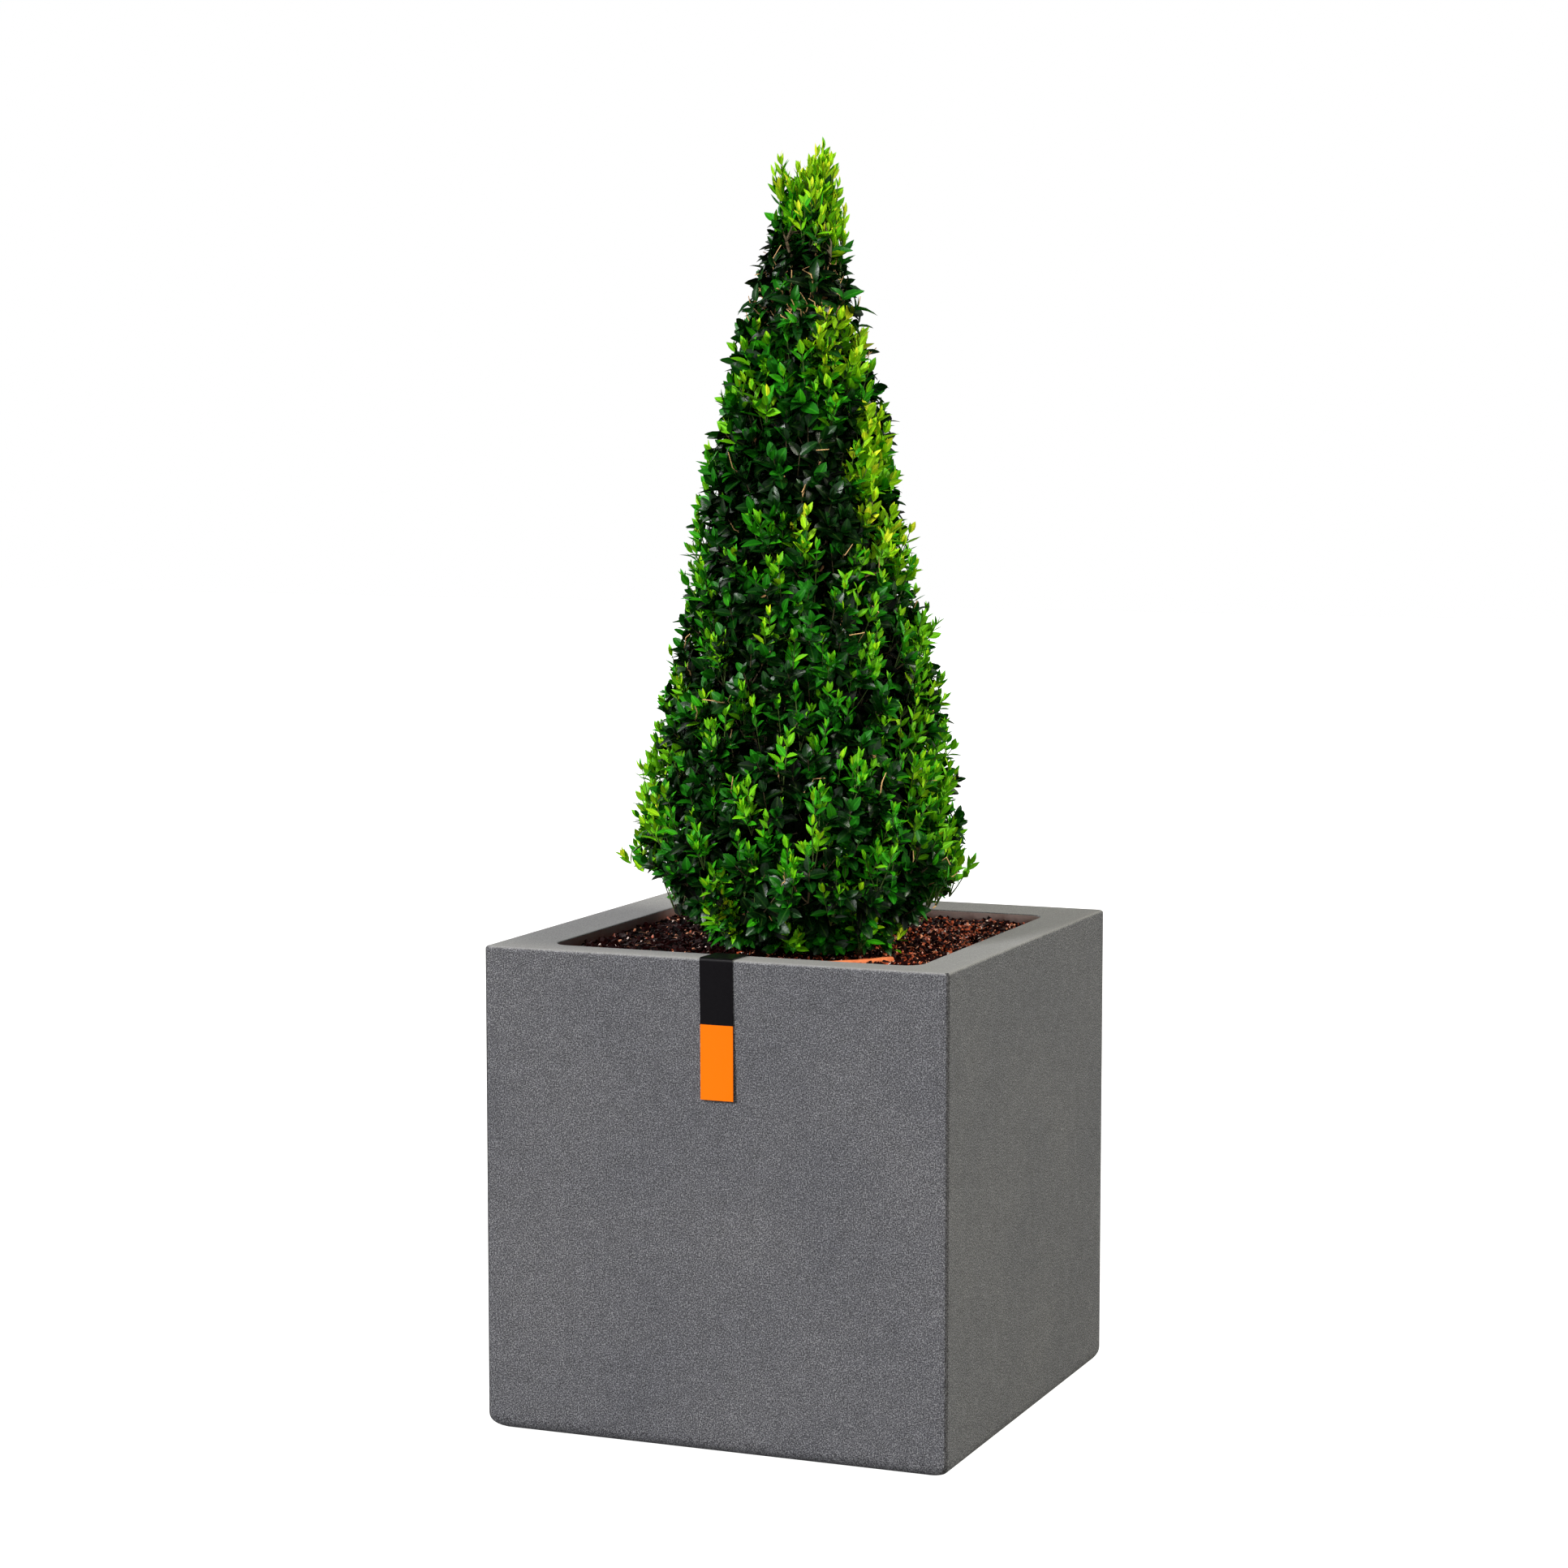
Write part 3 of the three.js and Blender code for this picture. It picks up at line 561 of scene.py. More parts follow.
def build_fibres():
    """Thin curved coir fibres on the mix."""
    rng = np.random.default_rng(SEEDS["fibres"])
    places = scatter_on_mix(rng, FIBRES)
    count = len(places)
    heading = rng.uniform(0, 2 * math.pi, count)
    bend = rng.normal(0, 0.5, count)
    length = rng.uniform(6, 18, count) * MM
    steps = np.linspace(0, 1, FIBRE_STEPS)
    turn = heading[:, None] + bend[:, None] * steps
    hop = length[:, None] / FIBRE_STEPS
    x = places[:, :1] + np.cumsum(hop * np.cos(turn), axis=1)
    y = places[:, 1:] + np.cumsum(hop * np.sin(turn), axis=1)
    x, y = (np.clip(part, -SOIL_HALF + MM, SOIL_HALF - MM) for part in (x, y))
    lift = rng.uniform(0.2, 1.6, count)[:, None] * MM * np.sin(math.pi * steps)
    z = np.minimum(soil_height(x, y) + lift, SOIL_LEVEL + SOIL_BACK_RISE)
    points, quads = tubes(np.stack([x, y, z], axis=-1), np.full(x.shape, FIBRE_RADIUS), 3)
    piece = new_piece("coir_fibres", points, [quads], [grained_material("chip", "fibre", *FIBRE_LOOK)])
    finish_piece(piece, "potting_mix", "potting_mix")


# Grower's pot rim and tag

POT_RIM_RADIUS = 116 * MM
POT_RIM_THICKNESS = 6 * MM
POT_RIM_ENDS_DEG = (-76, -27)
POT_RIM_STEPS = 50
POT_RIM_ROUNDING = 2.2 * MM
POT_RIM_WEAR = 0.25 * MM


def build_pot_rim():
    """The rim, square below and rounded above, with a slightly worn top."""
    half = POT_RIM_THICKNESS / 2
    flat, full = half - POT_RIM_ROUNDING, POT_RIM_HIGH.z - POT_RIM_ROUNDING
    arc = [(POT_RIM_ROUNDING * math.cos(t), POT_RIM_ROUNDING * math.sin(t)) for t in np.linspace(0, math.pi / 2, 5)]
    section = [(half, POT_RIM_LOW.z)]
    section += [(flat + x, full + z) for x, z in arc] + [(-flat - z, full + x) for x, z in arc]
    across, z = np.array([*section, (-half, POT_RIM_LOW.z)]).T
    turns = np.radians(np.linspace(*POT_RIM_ENDS_DEG, POT_RIM_STEPS))[:, None]
    reach = POT_RIM_RADIUS - half + across
    wear = POT_RIM_WEAR * np.sin(9 * turns) * np.sin(31 * turns) * (z > full)
    top = np.minimum(z + wear, POT_RIM_HIGH.z)
    points = np.stack([PLANT_X + reach * np.cos(turns), PLANT_Y + reach * np.sin(turns), top], axis=-1)
    faces = loft_faces(POT_RIM_STEPS, len(across))
    piece = new_piece("pot_rim", points, faces, [patterned_material("terracotta")])
    finish_piece(piece, "terracotta", "grower_pot_rim")


TAG_WIDTH = 28 * MM
TAG_THICKNESS = 0.8 * MM
TAG_CLEARANCE = 0.5 * MM
TAG_HANG_OUT = 2.6 * MM
TAG_CENTRE_X = 4.9 * MM
TAG_SKEW_DOWN = 0.015
TAG_SKEW_BACK = -0.085
TAG_BEND_RADIUS = 2.2 * MM
TAG_INNER_DROP = 6 * MM
TAG_COLOUR_CHANGE_Z = 348 * MM
TAG_ROWS = 8
TAG_COLUMNS = 7
TAG_CUP = 0.5 * MM
TAG_CUP_HEIGHT = 60 * MM
TAG_COLOURS = {"black": (0.003, 0.0025, 0.0035), "orange": (0.80, 0.155, 0.001)}


def tag_path():
    """The tag's middle line as (y, z), from its lower end up the face, over the rim and a little way down inside."""
    off = TAG_CLEARANCE + TAG_THICKNESS / 2
    front, back, top = -PLANTER_HALF - off, -CAVITY_HALF + off, RIM_Z + off
    bend = TAG_BEND_RADIUS
    heights = [
        *np.linspace(TAG_LOW_Z, TAG_COLOUR_CHANGE_Z, TAG_ROWS + 1),
        *np.linspace(TAG_COLOUR_CHANGE_Z, top - bend, TAG_ROWS + 1)[1:],
    ]
    path = [(front - TAG_HANG_OUT * ((top - z) / (top - TAG_LOW_Z)) ** 1.5, z) for z in heights]
    arc = [(1 - math.sin(turn), 1 - math.cos(turn)) for turn in np.linspace(0, math.pi / 2, 6)[1:]]
    path += [(front + bend * gone, top - bend * rest) for rest, gone in arc]
    path += [(y, top) for y in np.linspace(front + bend, back - bend, TAG_ROWS)[1:]]
    path += [(back - bend * rest, top - bend * gone) for rest, gone in arc]
    path = np.array([*path, (back, top - TAG_INNER_DROP)])
    path[:, 1] -= RIM_FALL * np.clip((path[:, 0] + PLANTER_HALF) / (PLANTER_HALF - CAVITY_HALF), 0, 1)
    return path


def build_tag():
    """The blank tag, slightly cupped where it hangs, in one colour above and another below."""
    path = tag_path()
    tangents = unit(np.gradient(path, axis=0))
    y, z, out_y, out_z = (part[:, None] for part in (*path.T, tangents[:, 1], -tangents[:, 0]))
    shares = np.linspace(-0.5, 0.5, TAG_COLUMNS)
    shares = np.concatenate([shares, -shares])
    sides = np.repeat((0.5, -0.5), TAG_COLUMNS)
    down = np.where(y < -CAVITY_HALF, np.maximum(0, RIM_Z - z), 0)
    centre = TAG_CENTRE_X + TAG_SKEW_DOWN * down + TAG_SKEW_BACK * np.maximum(0, y + PLANTER_HALF)
    cup = TAG_CUP * (2 * shares) ** 2 * np.minimum(1, down / TAG_CUP_HEIGHT)
    push = sides * TAG_THICKNESS - cup
    points = np.stack([centre + shares * TAG_WIDTH, y - out_y * push, z - out_z * push], axis=-1)
    lower = np.arange(len(path) - 1) < TAG_ROWS
    slots = np.concatenate([np.repeat(lower, len(shares)), [True, False]])
    materials = [grained_material("tag", name, colour, 0.38, 0.08) for name, colour in TAG_COLOURS.items()]
    faces = loft_faces(len(path), len(shares))
    finish_piece(new_piece("blank_tag", points, faces, materials, slots, smooth=False), "tag", "rim_tag")


# The crown's form, as in the part's source

LEAN = (5 * MM, 2 * MM)
FOOT_RADIUS = 79 * MM
SKIRT_Z = 461 * MM
SKIRT_RADIUS = 139 * MM
TUFT_Z = 1006 * MM
TUFT_RADIUS = 31 * MM
TUFT_ROUNDING = 0.85
BELLY = 4 * MM


def plant_axis(z):
    z = np.asarray(z, float)
    share = (z - SOIL_LEVEL) / (CROWN_TOP - SOIL_LEVEL)
    return np.stack([PLANT_X + LEAN[0] * share, PLANT_Y + LEAN[1] * share, z], axis=-1)


def off_axis(z, reach, turn):
    """Points at heights, so far off the plant's axis at a turn."""
    return plant_axis(z) + np.reshape(reach, (-1, 1)) * outward(turn)


def crown_radius(z):
    z = np.asarray(z, float)
    foot = blend(FOOT_RADIUS, SKIRT_RADIUS, smoothstep(z, SOIL_LEVEL, SKIRT_Z))
    share = np.clip((z - SKIRT_Z) / (TUFT_Z - SKIRT_Z), 0, 1)
    side = blend(SKIRT_RADIUS, TUFT_RADIUS, share) + BELLY * np.sin(math.pi * np.sqrt(share))
    over = np.clip((z - TUFT_Z) / (CROWN_TOP - TUFT_Z), 0, 1)
    tuft = TUFT_RADIUS * np.sqrt(1 - TUFT_ROUNDING * over * over)
    return np.where(z <= SKIRT_Z, foot, np.where(z <= TUFT_Z, side, tuft))


# Low waves that make the clipped face uneven: turns round the plant, waves up it and depth
LUMPS = ((3, 9, 0.012), (5, -17, 0.012), (8, 31, 0.012), (13, -52, 0.012))

# How far leaves stay inside the source's outline at the foot, more so on its left, and in the tuft
FOOT_TUCK, FOOT_SIDE_TUCK = 5 * MM, 16 * MM
FOOT_TUCK_TURN_DEG = 205
FOOT_TUCK_Z = (404 * MM, 426 * MM, 450 * MM, 476 * MM)
TUFT_TUCK = 17 * MM
TUFT_TUCK_Z = (940 * MM, 1012 * MM)

# Places where the clipped face stands a little further out or in, as the photograph's outline shows: turn round the
# plant in degrees, height, half width in degrees, half height and how far out in millimetres
BULGES = (
    (202, 0.885, 70, 0.110, 3),
    (22, 0.925, 50, 0.060, -15),
    (22, 0.790, 50, 0.030, -6),
    (202, 0.790, 50, 0.030, 7),
    (22, 0.690, 50, 0.024, -6),
    (22, 0.488, 40, 0.020, -6),
    (202, 0.404, 50, 0.014, 2),
    (30, 0.416, 50, 0.018, -7),
    (-10, 0.398, 30, 0.016, 7),
    (-68, 0.396, 50, 0.024, 10),
)


def oval(turn, z, turn_deg, middle_z, wide_deg, high):
    """How far places on the crown are from the middle of an oval, squared, with 1 at its edge."""
    wide = np.angle(np.exp(1j * (turn - math.radians(turn_deg)))) / math.radians(wide_deg)
    up = (z - middle_z) / high
    return wide * wide + up * up


def lumpy_radius(z, turn):
    swell = sum(
        depth * np.sin(count * turn + rate * z * 2 * math.pi + 1.7 * count)
        for count, rate, depth in LUMPS
    )
    left = 0.5 + 0.5 * np.cos(turn - math.radians(FOOT_TUCK_TURN_DEG))
    tuck = band(z, FOOT_TUCK_Z) * (FOOT_TUCK + FOOT_SIDE_TUCK * left) + TUFT_TUCK * smoothstep(z, *TUFT_TUCK_Z)
    for *place, out in BULGES:
        tuck = tuck - out * MM * smoothstep(1 - oval(turn, z, *place), 0, 1)
    return crown_radius(z) * (1 + swell) - tuck


# Sprays of shoots: how many shoots each has, their lengths, whether their leaves have ribs, how many sprays there are
# and how deep under the clipped face they end, and how far their shoots spread
Layer = namedtuple("Layer", "shoots length ribbed sprays depth spread", defaults=(0, 0, (0.42, 0.85)))
LAYERS = (
    Layer((3, 5), (24 * MM, 42 * MM), True, 740, 0),
    Layer((3, 4), (24 * MM, 38 * MM), False, 420, 24 * MM),
    Layer((3, 4), (26 * MM, 40 * MM), False, 250, 46 * MM),
)
HEM_LAYER = Layer((3, 4), (20 * MM, 32 * MM), True, 130)
FOOT_LAYER = Layer((3, 4), (26 * MM, 34 * MM), True)
TUFT_LAYER = Layer((2, 4), (30 * MM, 44 * MM), True, spread=(0.10, 0.30))
HEM = len(LAYERS)
HEM_Z = (393 * MM, 424 * MM)
LEAF_REACH = 9 * MM

# How shoots stand: down and out at the foot, out and up on the sides, upright in the tuft
LOWEST_RISE_DEG = 24
FOOT_RISE_DEG = -16
SIDE_RISE_DEG = 60
TUFT_RISE_DEG = 78
TUFT_SPRAY_RISE_DEG = (68, 86)
RISE_JITTER_DEG = 9

# Leaf kinds from the inside of the crown to the newest growth: base colour, roughness and specular level. The
# shade kind is near black, as painted shade deep inside the crown
LEAF_KINDS = {
    "shade": ((0.001, 0.003, 0.001), 0.5, 0.1),
    "deep": ((0.001, 0.011, 0.001), 0.32, 0.18),
    "dark": ((0.002, 0.032, 0.002), 0.30, 0.26),
    "mid": ((0.008, 0.125, 0.003), 0.36, 0.16),
    "fresh": ((0.030, 0.280, 0.004), 0.42, 0.12),
    "bright": ((0.125, 0.420, 0.005), 0.44, 0.12),
    "lime": ((0.270, 0.545, 0.006), 0.46, 0.12),
    "yellow": ((0.540, 0.620, 0.016), 0.48, 0.12),
    "dry": ((0.400, 0.210, 0.090), 0.7, 0.2),
}
KIND = {name: index for index, name in enumerate(LEAF_KINDS)}

# For each tint of spray: how much deeper than its layer it stands in millimetres, and the kinds of leaf on its
# shoots, from the tip down
TINTS = {
    # Inner sprays carry near-black shade leaves, painted shade deep in the crown
    "inner": (0, ("deep", "shade", "shade", "shade", "shade", "shade")),
    "deep": (7, ("dark", "dark", "deep", "deep", "deep", "deep")),
    "mid": (4, ("mid", "mid", "dark", "dark", "deep", "deep")),
    "fresh": (-2, ("bright", "bright", "fresh", "fresh", "mid", "dark")),
    "bright": (-3, ("lime", "bright", "bright", "bright", "fresh", "mid")),
    "lime": (-3, ("yellow", "lime", "lime", "bright", "fresh", "mid")),
    "tuft": (-3, ("yellow", "lime", "lime", "bright", "mid", "dark")),
}
TINT = {name: index for index, name in enumerate(TINTS)}
TINT_DEPTHS = np.array([depth for depth, _ in TINTS.values()]) * MM
TINT_KINDS = np.array([[KIND[kind] for kind in kinds] for _, kinds in TINTS.values()])

# The share of outer sprays that are new growth, by height, the part of them that is bright, and the share of
# middling ones, on the sides and what the bare zone adds
FRESH_SHARES = (
    (0.40, 0.26), (0.42, 0.38), (0.45, 0.47), (0.50, 0.43), (0.58, 0.38), (0.64, 0.34), (0.70, 0.26),
    (0.76, 0.16), (0.82, 0.18), (0.88, 0.22), (0.90, 0.07), (0.960, 0.10), (0.985, 0.40), (1.0, 0.8),
)
BRIGHT_PART = 0.3
MIDDLING_SHARES = (0.24, 0.36)

# Patches of one tint that show in the photograph: turn round the plant in degrees, height, half width in degrees,
# half height, tint and share of the sprays there
PATCHES = (
    (-72, 0.795, 42, 0.048, "deep", 0.8),
    (-12, 0.764, 21, 0.068, "lime", 0.9),
    (-105, 0.420, 11, 0.020, "bright", 1.0),
    (-31, 0.406, 12, 0.016, "bright", 1.0),
    (-6, 0.400, 18, 0.018, "bright", 1.0),
    (-76, 0.402, 10, 0.013, "bright", 1.0),
    (4, 0.580, 20, 0.120, "bright", 0.6),
    (190, 0.500, 32, 0.070, "bright", 0.6),
    (196, 0.470, 16, 0.050, "lime", 0.6),
    (15, 0.470, 14, 0.040, "bright", 0.6),
    (-104, 0.866, 28, 0.034, "fresh", 1.0),
    (-104, 0.866, 28, 0.034, "bright", 0.2),
    (-22, 0.881, 34, 0.032, "lime", 1.0),
    (12, 0.984, 26, 0.026, "lime", 0.9),
    (20, 0.440, 24, 0.026, "bright", 0.8),
    (-60, 0.742, 8, 0.020, "lime", 1.0),
    (205, 0.962, 75, 0.032, "deep", 1.0),
    (-80, 0.683, 9, 0.032, "bright", 1.0),
    (-42, 0.690, 9, 0.040, "bright", 0.7),
    (186, 0.740, 24, 0.060, "fresh", 0.7),
    (100, 0.640, 30, 0.080, "lime", 0.5),
    (150, 0.860, 26, 0.030, "fresh", 0.8),
)

# Where the tuft's own tint starts, which is higher on its dark side, and how new growth gathers in clumps
TUFT_LOW_Z = 0.988
TUFT_DEPTH = 26 * MM
TUFT_DARK_TURN_DEG = 202
CLUMP_SIZE = 19 * MM
CLUMP_STRENGTH = 0.3
NEAR_SPRAYS = 9

# The zone under the tuft where old leaves are missing and bare twigs show
BARE_Z = (0.862, 0.892, 0.945, 0.972)


def even_heights(count):
    """Heights that give each spray the same area of the crown."""
    z = np.linspace(SOIL_LEVEL + 4 * MM, CROWN_TOP - 26 * MM, 600)
    radius = crown_radius(z)
    slope = np.gradient(radius, z)
    area = np.cumsum(radius * np.sqrt(1 + slope * slope))
    area = (area - area[0]) / (area[-1] - area[0])
    z = np.interp((np.arange(count) + 0.5) / count, area, z)
    return z + np.random.default_rng(count).uniform(-6, 6, count) * MM


def rise_angle(z):
    side = blend(FOOT_RISE_DEG, SIDE_RISE_DEG, smoothstep(z, SOIL_LEVEL + 8 * MM, SKIRT_Z))
    side = side + LOWEST_RISE_DEG * (1 - smoothstep(z, SOIL_LEVEL, SOIL_LEVEL + 18 * MM))
    top = smoothstep(z, TUFT_Z - 120 * MM, CROWN_TOP - 10 * MM)
    return np.radians(blend(side, TUFT_RISE_DEG, top))


def local_ranks(rng, points, values):
    """Each point's rank by value among the points nearest to it, from 0 to 1."""
    apart = np.linalg.norm(points[:, None] - points[None], axis=-1)
    near = np.argsort(apart, axis=1)[:, :NEAR_SPRAYS]
    below = np.sum(values[near] < values[:, None], axis=1)
    return (below + rng.random(len(points))) / NEAR_SPRAYS


def outer_tints(rng, z, turn):
    """The tint of each outer spray: new growth in shares that change with height, and the patches."""
    fresh = np.interp(z, *np.transpose(FRESH_SHARES))
    around = np.angle(np.exp(1j * (turn - math.pi / 2)))
    clumps = CLUMP_STRENGTH * value_noise(around * crown_radius(z), z, CLUMP_SIZE, "clumps") + rng.random(len(z))
    draw = local_ranks(rng, off_axis(z, crown_radius(z), turn), clumps)
    middling = MIDDLING_SHARES[0] + MIDDLING_SHARES[1] * band(z, BARE_Z)
    tint = np.where(draw < fresh, TINT["fresh"], TINT["deep"])
    tint[draw < BRIGHT_PART * fresh] = TINT["bright"]
    tint[(draw >= fresh) & (draw < fresh + middling)] = TINT["mid"]
    for *place, name, share in PATCHES:
        tint[(oval(turn, z, *place) < 1) & (rng.random(len(z)) < share)] = TINT[name]
    darker_side = 0.5 + 0.5 * np.cos(turn - math.radians(TUFT_DARK_TURN_DEG))
    tint[z > TUFT_LOW_Z + TUFT_DEPTH * darker_side] = TINT["tuft"]
    return tint


def layer_tints(rng, index, z, turn):
    """Tints of a layer's sprays: the inner ones are old and dark, near black as painted shade, but in the tuft."""
    if index in (0, HEM):
        return outer_tints(rng, z, turn)
    tint = np.full(len(z), TINT["inner"])
    if index == 1:
        draw = rng.random(len(z))
        tint[draw >= 0.5] = TINT["deep"]
        tint[draw > 0.88] = TINT["mid"]
        tint[z > TUFT_Z - 6 * MM] = TINT["fresh"]
    return tint


def sprays_to(rng, layer, tip, direction, tint, z):
    """Sprays that start so far back that their leaves end at the tips."""
    length = rng.uniform(*layer.length, len(tip))
    base = tip - direction * (length + LEAF_REACH)[:, None]
    return {"rng": rng, "base": base, "direction": direction, "length": length, "tint": tint, "z": z}


def layer_sprays(index, layer, z):
    """Sprays all round the crown, each a golden angle on from the last."""
    rng = np.random.default_rng(SEEDS["layers"] + index)
    turn = np.arange(len(z)) * GOLDEN_ANGLE + index + rng.normal(0, 0.05, len(z))
    radius = lumpy_radius(z, turn) - layer.depth
    keep = radius > 4 * MM
    z, turn, radius = z[keep], turn[keep], radius[keep]
    tint = layer_tints(rng, index, z, turn)
    radius = np.maximum(radius - TINT_DEPTHS[tint], 3 * MM)
    rise = rise_angle(z) + np.radians(rng.uniform(-RISE_JITTER_DEG, RISE_JITTER_DEG, len(z)))
    direction = outward(turn + rng.normal(0, 0.22, len(z)), rise)
    return sprays_to(rng, layer, off_axis(z, radius, turn), direction, tint, z)


# The tuft's lobes: how many sprays, their tint, turn round the plant in degrees, and in millimetres how far off the
# axis, how wide, how high and how far they drop to the lobe's edge
TUFT_LOBES = (
    (12, "tuft", 22, 11, 9, 1036, 24),
    (2, "tuft", 202, 24, 1.5, 1031, 2),
    (6, "tuft", 202, 8, 6, 1002, 12),
    (3, "tuft", 18, 23, 3, 1014, 6),
    (4, "tuft", 14, 28, 4, 994, 10),
    (1, "tuft", 28, 18, 0, 1045, 0),
    (9, "deep", 202, 19, 9, 988, 16),
    (8, "deep", 292, 13, 11, 972, 14),
    (8, "deep", 112, 13, 11, 972, 14),
)


def tuft_sprays():
    """Upright sprays of the newest growth, highest in the middle of each lobe."""
    rng = np.random.default_rng(SEEDS["tuft"])
    tips, tints = [], []
    for sprays, name, turn_deg, *sizes in TUFT_LOBES:
        out, wide, top, drop = (size * MM for size in sizes)
        share = np.sqrt((np.arange(sprays) + 0.5) / sprays)
        away = np.full(sprays, math.radians(turn_deg))
        round_lobe = outward(np.arange(sprays) * GOLDEN_ANGLE)
        tips.append(off_axis(top - drop * share**2.2, out, away) + (wide * share)[:, None] * round_lobe)
        tints += [TINT[name]] * sprays
    tip = np.concatenate(tips)
    off = tip - plant_axis(tip[:, 2])
    turn = np.arctan2(off[:, 1], off[:, 0]) + rng.normal(0, 0.5, len(tip))
    direction = outward(turn, np.radians(rng.uniform(*TUFT_SPRAY_RISE_DEG, len(tip))))
    return sprays_to(rng, TUFT_LAYER, tip, direction, np.array(tints), tip[:, 2])


# Sprays that stand out of the foot at the front: turn round the plant in degrees, how far off the axis and how high
# their tips are in millimetres, their rise in degrees and their tint
FOOT_SPRAYS = (
    (-103, 132, 432, 44, "bright"),
    (-99, 130, 424, 24, "lime"),
    (-101, 126, 414, 2, "bright"),
    (-98, 120, 403, -14, "lime"),
    (-50, 112, 400, 6, "mid"),
    (-28, 112, 399, 4, "mid"),
    (-74, 116, 406, 30, "bright"),
    (-38, 120, 424, 50, "lime"),
    (-34, 115, 411, 30, "bright"),
    (-18, 113, 414, 48, "lime"),
    (-20, 110, 403, 26, "bright"),
)


def foot_sprays():
    turn, out, z, rise = np.array([row[:4] for row in FOOT_SPRAYS], float).T
    turn, rise, z = np.radians(turn), np.radians(rise), z * MM
    tint = np.array([TINT[row[4]] for row in FOOT_SPRAYS])
    rng = np.random.default_rng(SEEDS["foot"])
    return sprays_to(rng, FOOT_LAYER, off_axis(z, out * MM, turn), outward(turn, rise), tint, z)


# Shoots

# How many old sprays end in one new shoot, up to where on the crown, and how many shoots of new sprays are old
SINGLE_NEW_SHARE = 0.42
SINGLE_NEW_Z = (0.70, 0.76)
FADED_SHARE = 0.28
FADED_LENGTH = 0.7

# How far a spray's first shoot leaves its line, how far new shoots do as a part of what the others do, and how much
# new shoots turn up, at the foot and above it
FIRST_SPREAD = 0.1
NEW_SPREAD = 0.8
NEW_UPTURN = (0.62, 0.42)


def tinted(tint, *names):
    return np.isin(tint, [TINT[name] for name in names])


def shoots_of(sprays, layer):
    """Each spray's shoots: one along it and the others spread round it."""
    rng = sprays["rng"]
    counts = rng.integers(layer.shoots[0], layer.shoots[1] + 1, len(sprays["base"]))
    owner = np.repeat(np.arange(len(counts)), counts)
    count = len(owner)
    first = np.concatenate([[True], owner[1:] != owner[:-1]])
    base, direction, length, tint, z = (sprays[key][owner] for key in ("base", "direction", "length", "tint", "z"))
    draw = rng.random(count)
    alone = draw < SINGLE_NEW_SHARE * (1 - smoothstep(z, *SINGLE_NEW_Z))
    if layer is LAYERS[0]:
        tint[first & tinted(tint, "deep", "mid") & alone] = TINT["fresh"]
    faded = ~first & tinted(tint, "fresh", "bright") & (draw < FADED_SHARE)
    tint[faded] = TINT["mid"]
    fresh = tinted(tint, "fresh", "bright", "lime", "tuft")
    spread_out = np.where(first, FIRST_SPREAD, rng.uniform(*layer.spread, count)) * np.where(fresh, NEW_SPREAD, 1.0)
    sideways = square_to(rng.normal(0, 1, (count, 3)), direction)
    direction = unit(direction + sideways * spread_out[:, None])
    upturn = np.where(fresh, blend(*NEW_UPTURN, smoothstep(z, SOIL_LEVEL, SKIRT_Z)), 0.0)
    direction = unit(direction + upturn[:, None] * UP)
    length = length * np.where(first, 1.0, rng.uniform(0.55, 0.98, count))
    length = length * np.where(fresh, 1.14, 0.94) * np.where(faded, FADED_LENGTH, 1.0)
    bend = rng.uniform(0.05, 0.3, count) * np.where(fresh, 1.0, 0.4)
    return {
        "rng": rng, "base": base, "direction": direction, "length": length, "tint": tint, "fresh": fresh, "bend": bend,
    }


def on_shoot(shoots, share):
    """The point and the direction at a share of each shoot's length: shoots bend upwards."""
    share = share[:, None]
    up = UP * shoots["bend"][:, None]
    point = shoots["base"] + shoots["length"][:, None] * (shoots["direction"] * share + up * share**2)
    return point, unit(shoots["direction"] + 2 * up * share)


# Leaves

# For each pair of leaves, from the tip of a shoot down: how far they stand off it in degrees, where on it they are,
# and their sizes on old and on new shoots
RANKS = (
    (6, 1.0, 0.62, 0.6),
    (24, 0.97, 0.84, 0.74),
    (40, 0.82, 1.0, 0.9),
    (54, 0.64, 1.04, 1.0),
    (64, 0.45, 1.0, 1.06),
    (70, 0.26, 0.92, 1.0),
)

# Lengths in millimetres and shapes of leaves, on new and on old shoots
LENGTHS = ((11.5, 16), (13, 17.5))
BREADTHS = ((0.35, 0.47), (0.50, 0.63))
FOLDS = ((0.18, 0.5), (0.1, 0.45))
CURLS = ((-0.10, 0.16), (0.0, 0.34))
LEAF_POINTS = (0.95, 0.66)

# In the bare zone: the share of leaves that are missing, and how those left are narrower, folded and curled
BARE_SHARE, BARE_NARROWING, BARE_FOLD, BARE_CURL = 0.36, 0.2, 0.3, 0.35

# Where on the crown old leaves are larger and further apart, where new ones are larger, where new shoots have more
# leaves, and the foot, where old leaves hang more than elsewhere
LARGE_Z = (0.68, 0.75, 0.95, 1.0)
LARGE_GROWTH, LARGE_GAPS = 0.22, 0.14
UPPER_Z = (0.66, 0.74)
UPPER_GROWTH = 0.2
LEAFY_Z = 0.45
HANGING_Z = (0.41, 0.47)
HANGING = (0.12, 0.3)

# How far leaves in the tuft close up round their shoots, and their growth in length and breadth
TUFT_CLOSING, TUFT_LENGTH, TUFT_BREADTH = 0.66, 1.04, 0.86

# The chance of a leaf to be of the kind next to its own, on the older or on the newer side
OLDER_CHANCE, NEWER_CHANCE = 0.16, 0.1


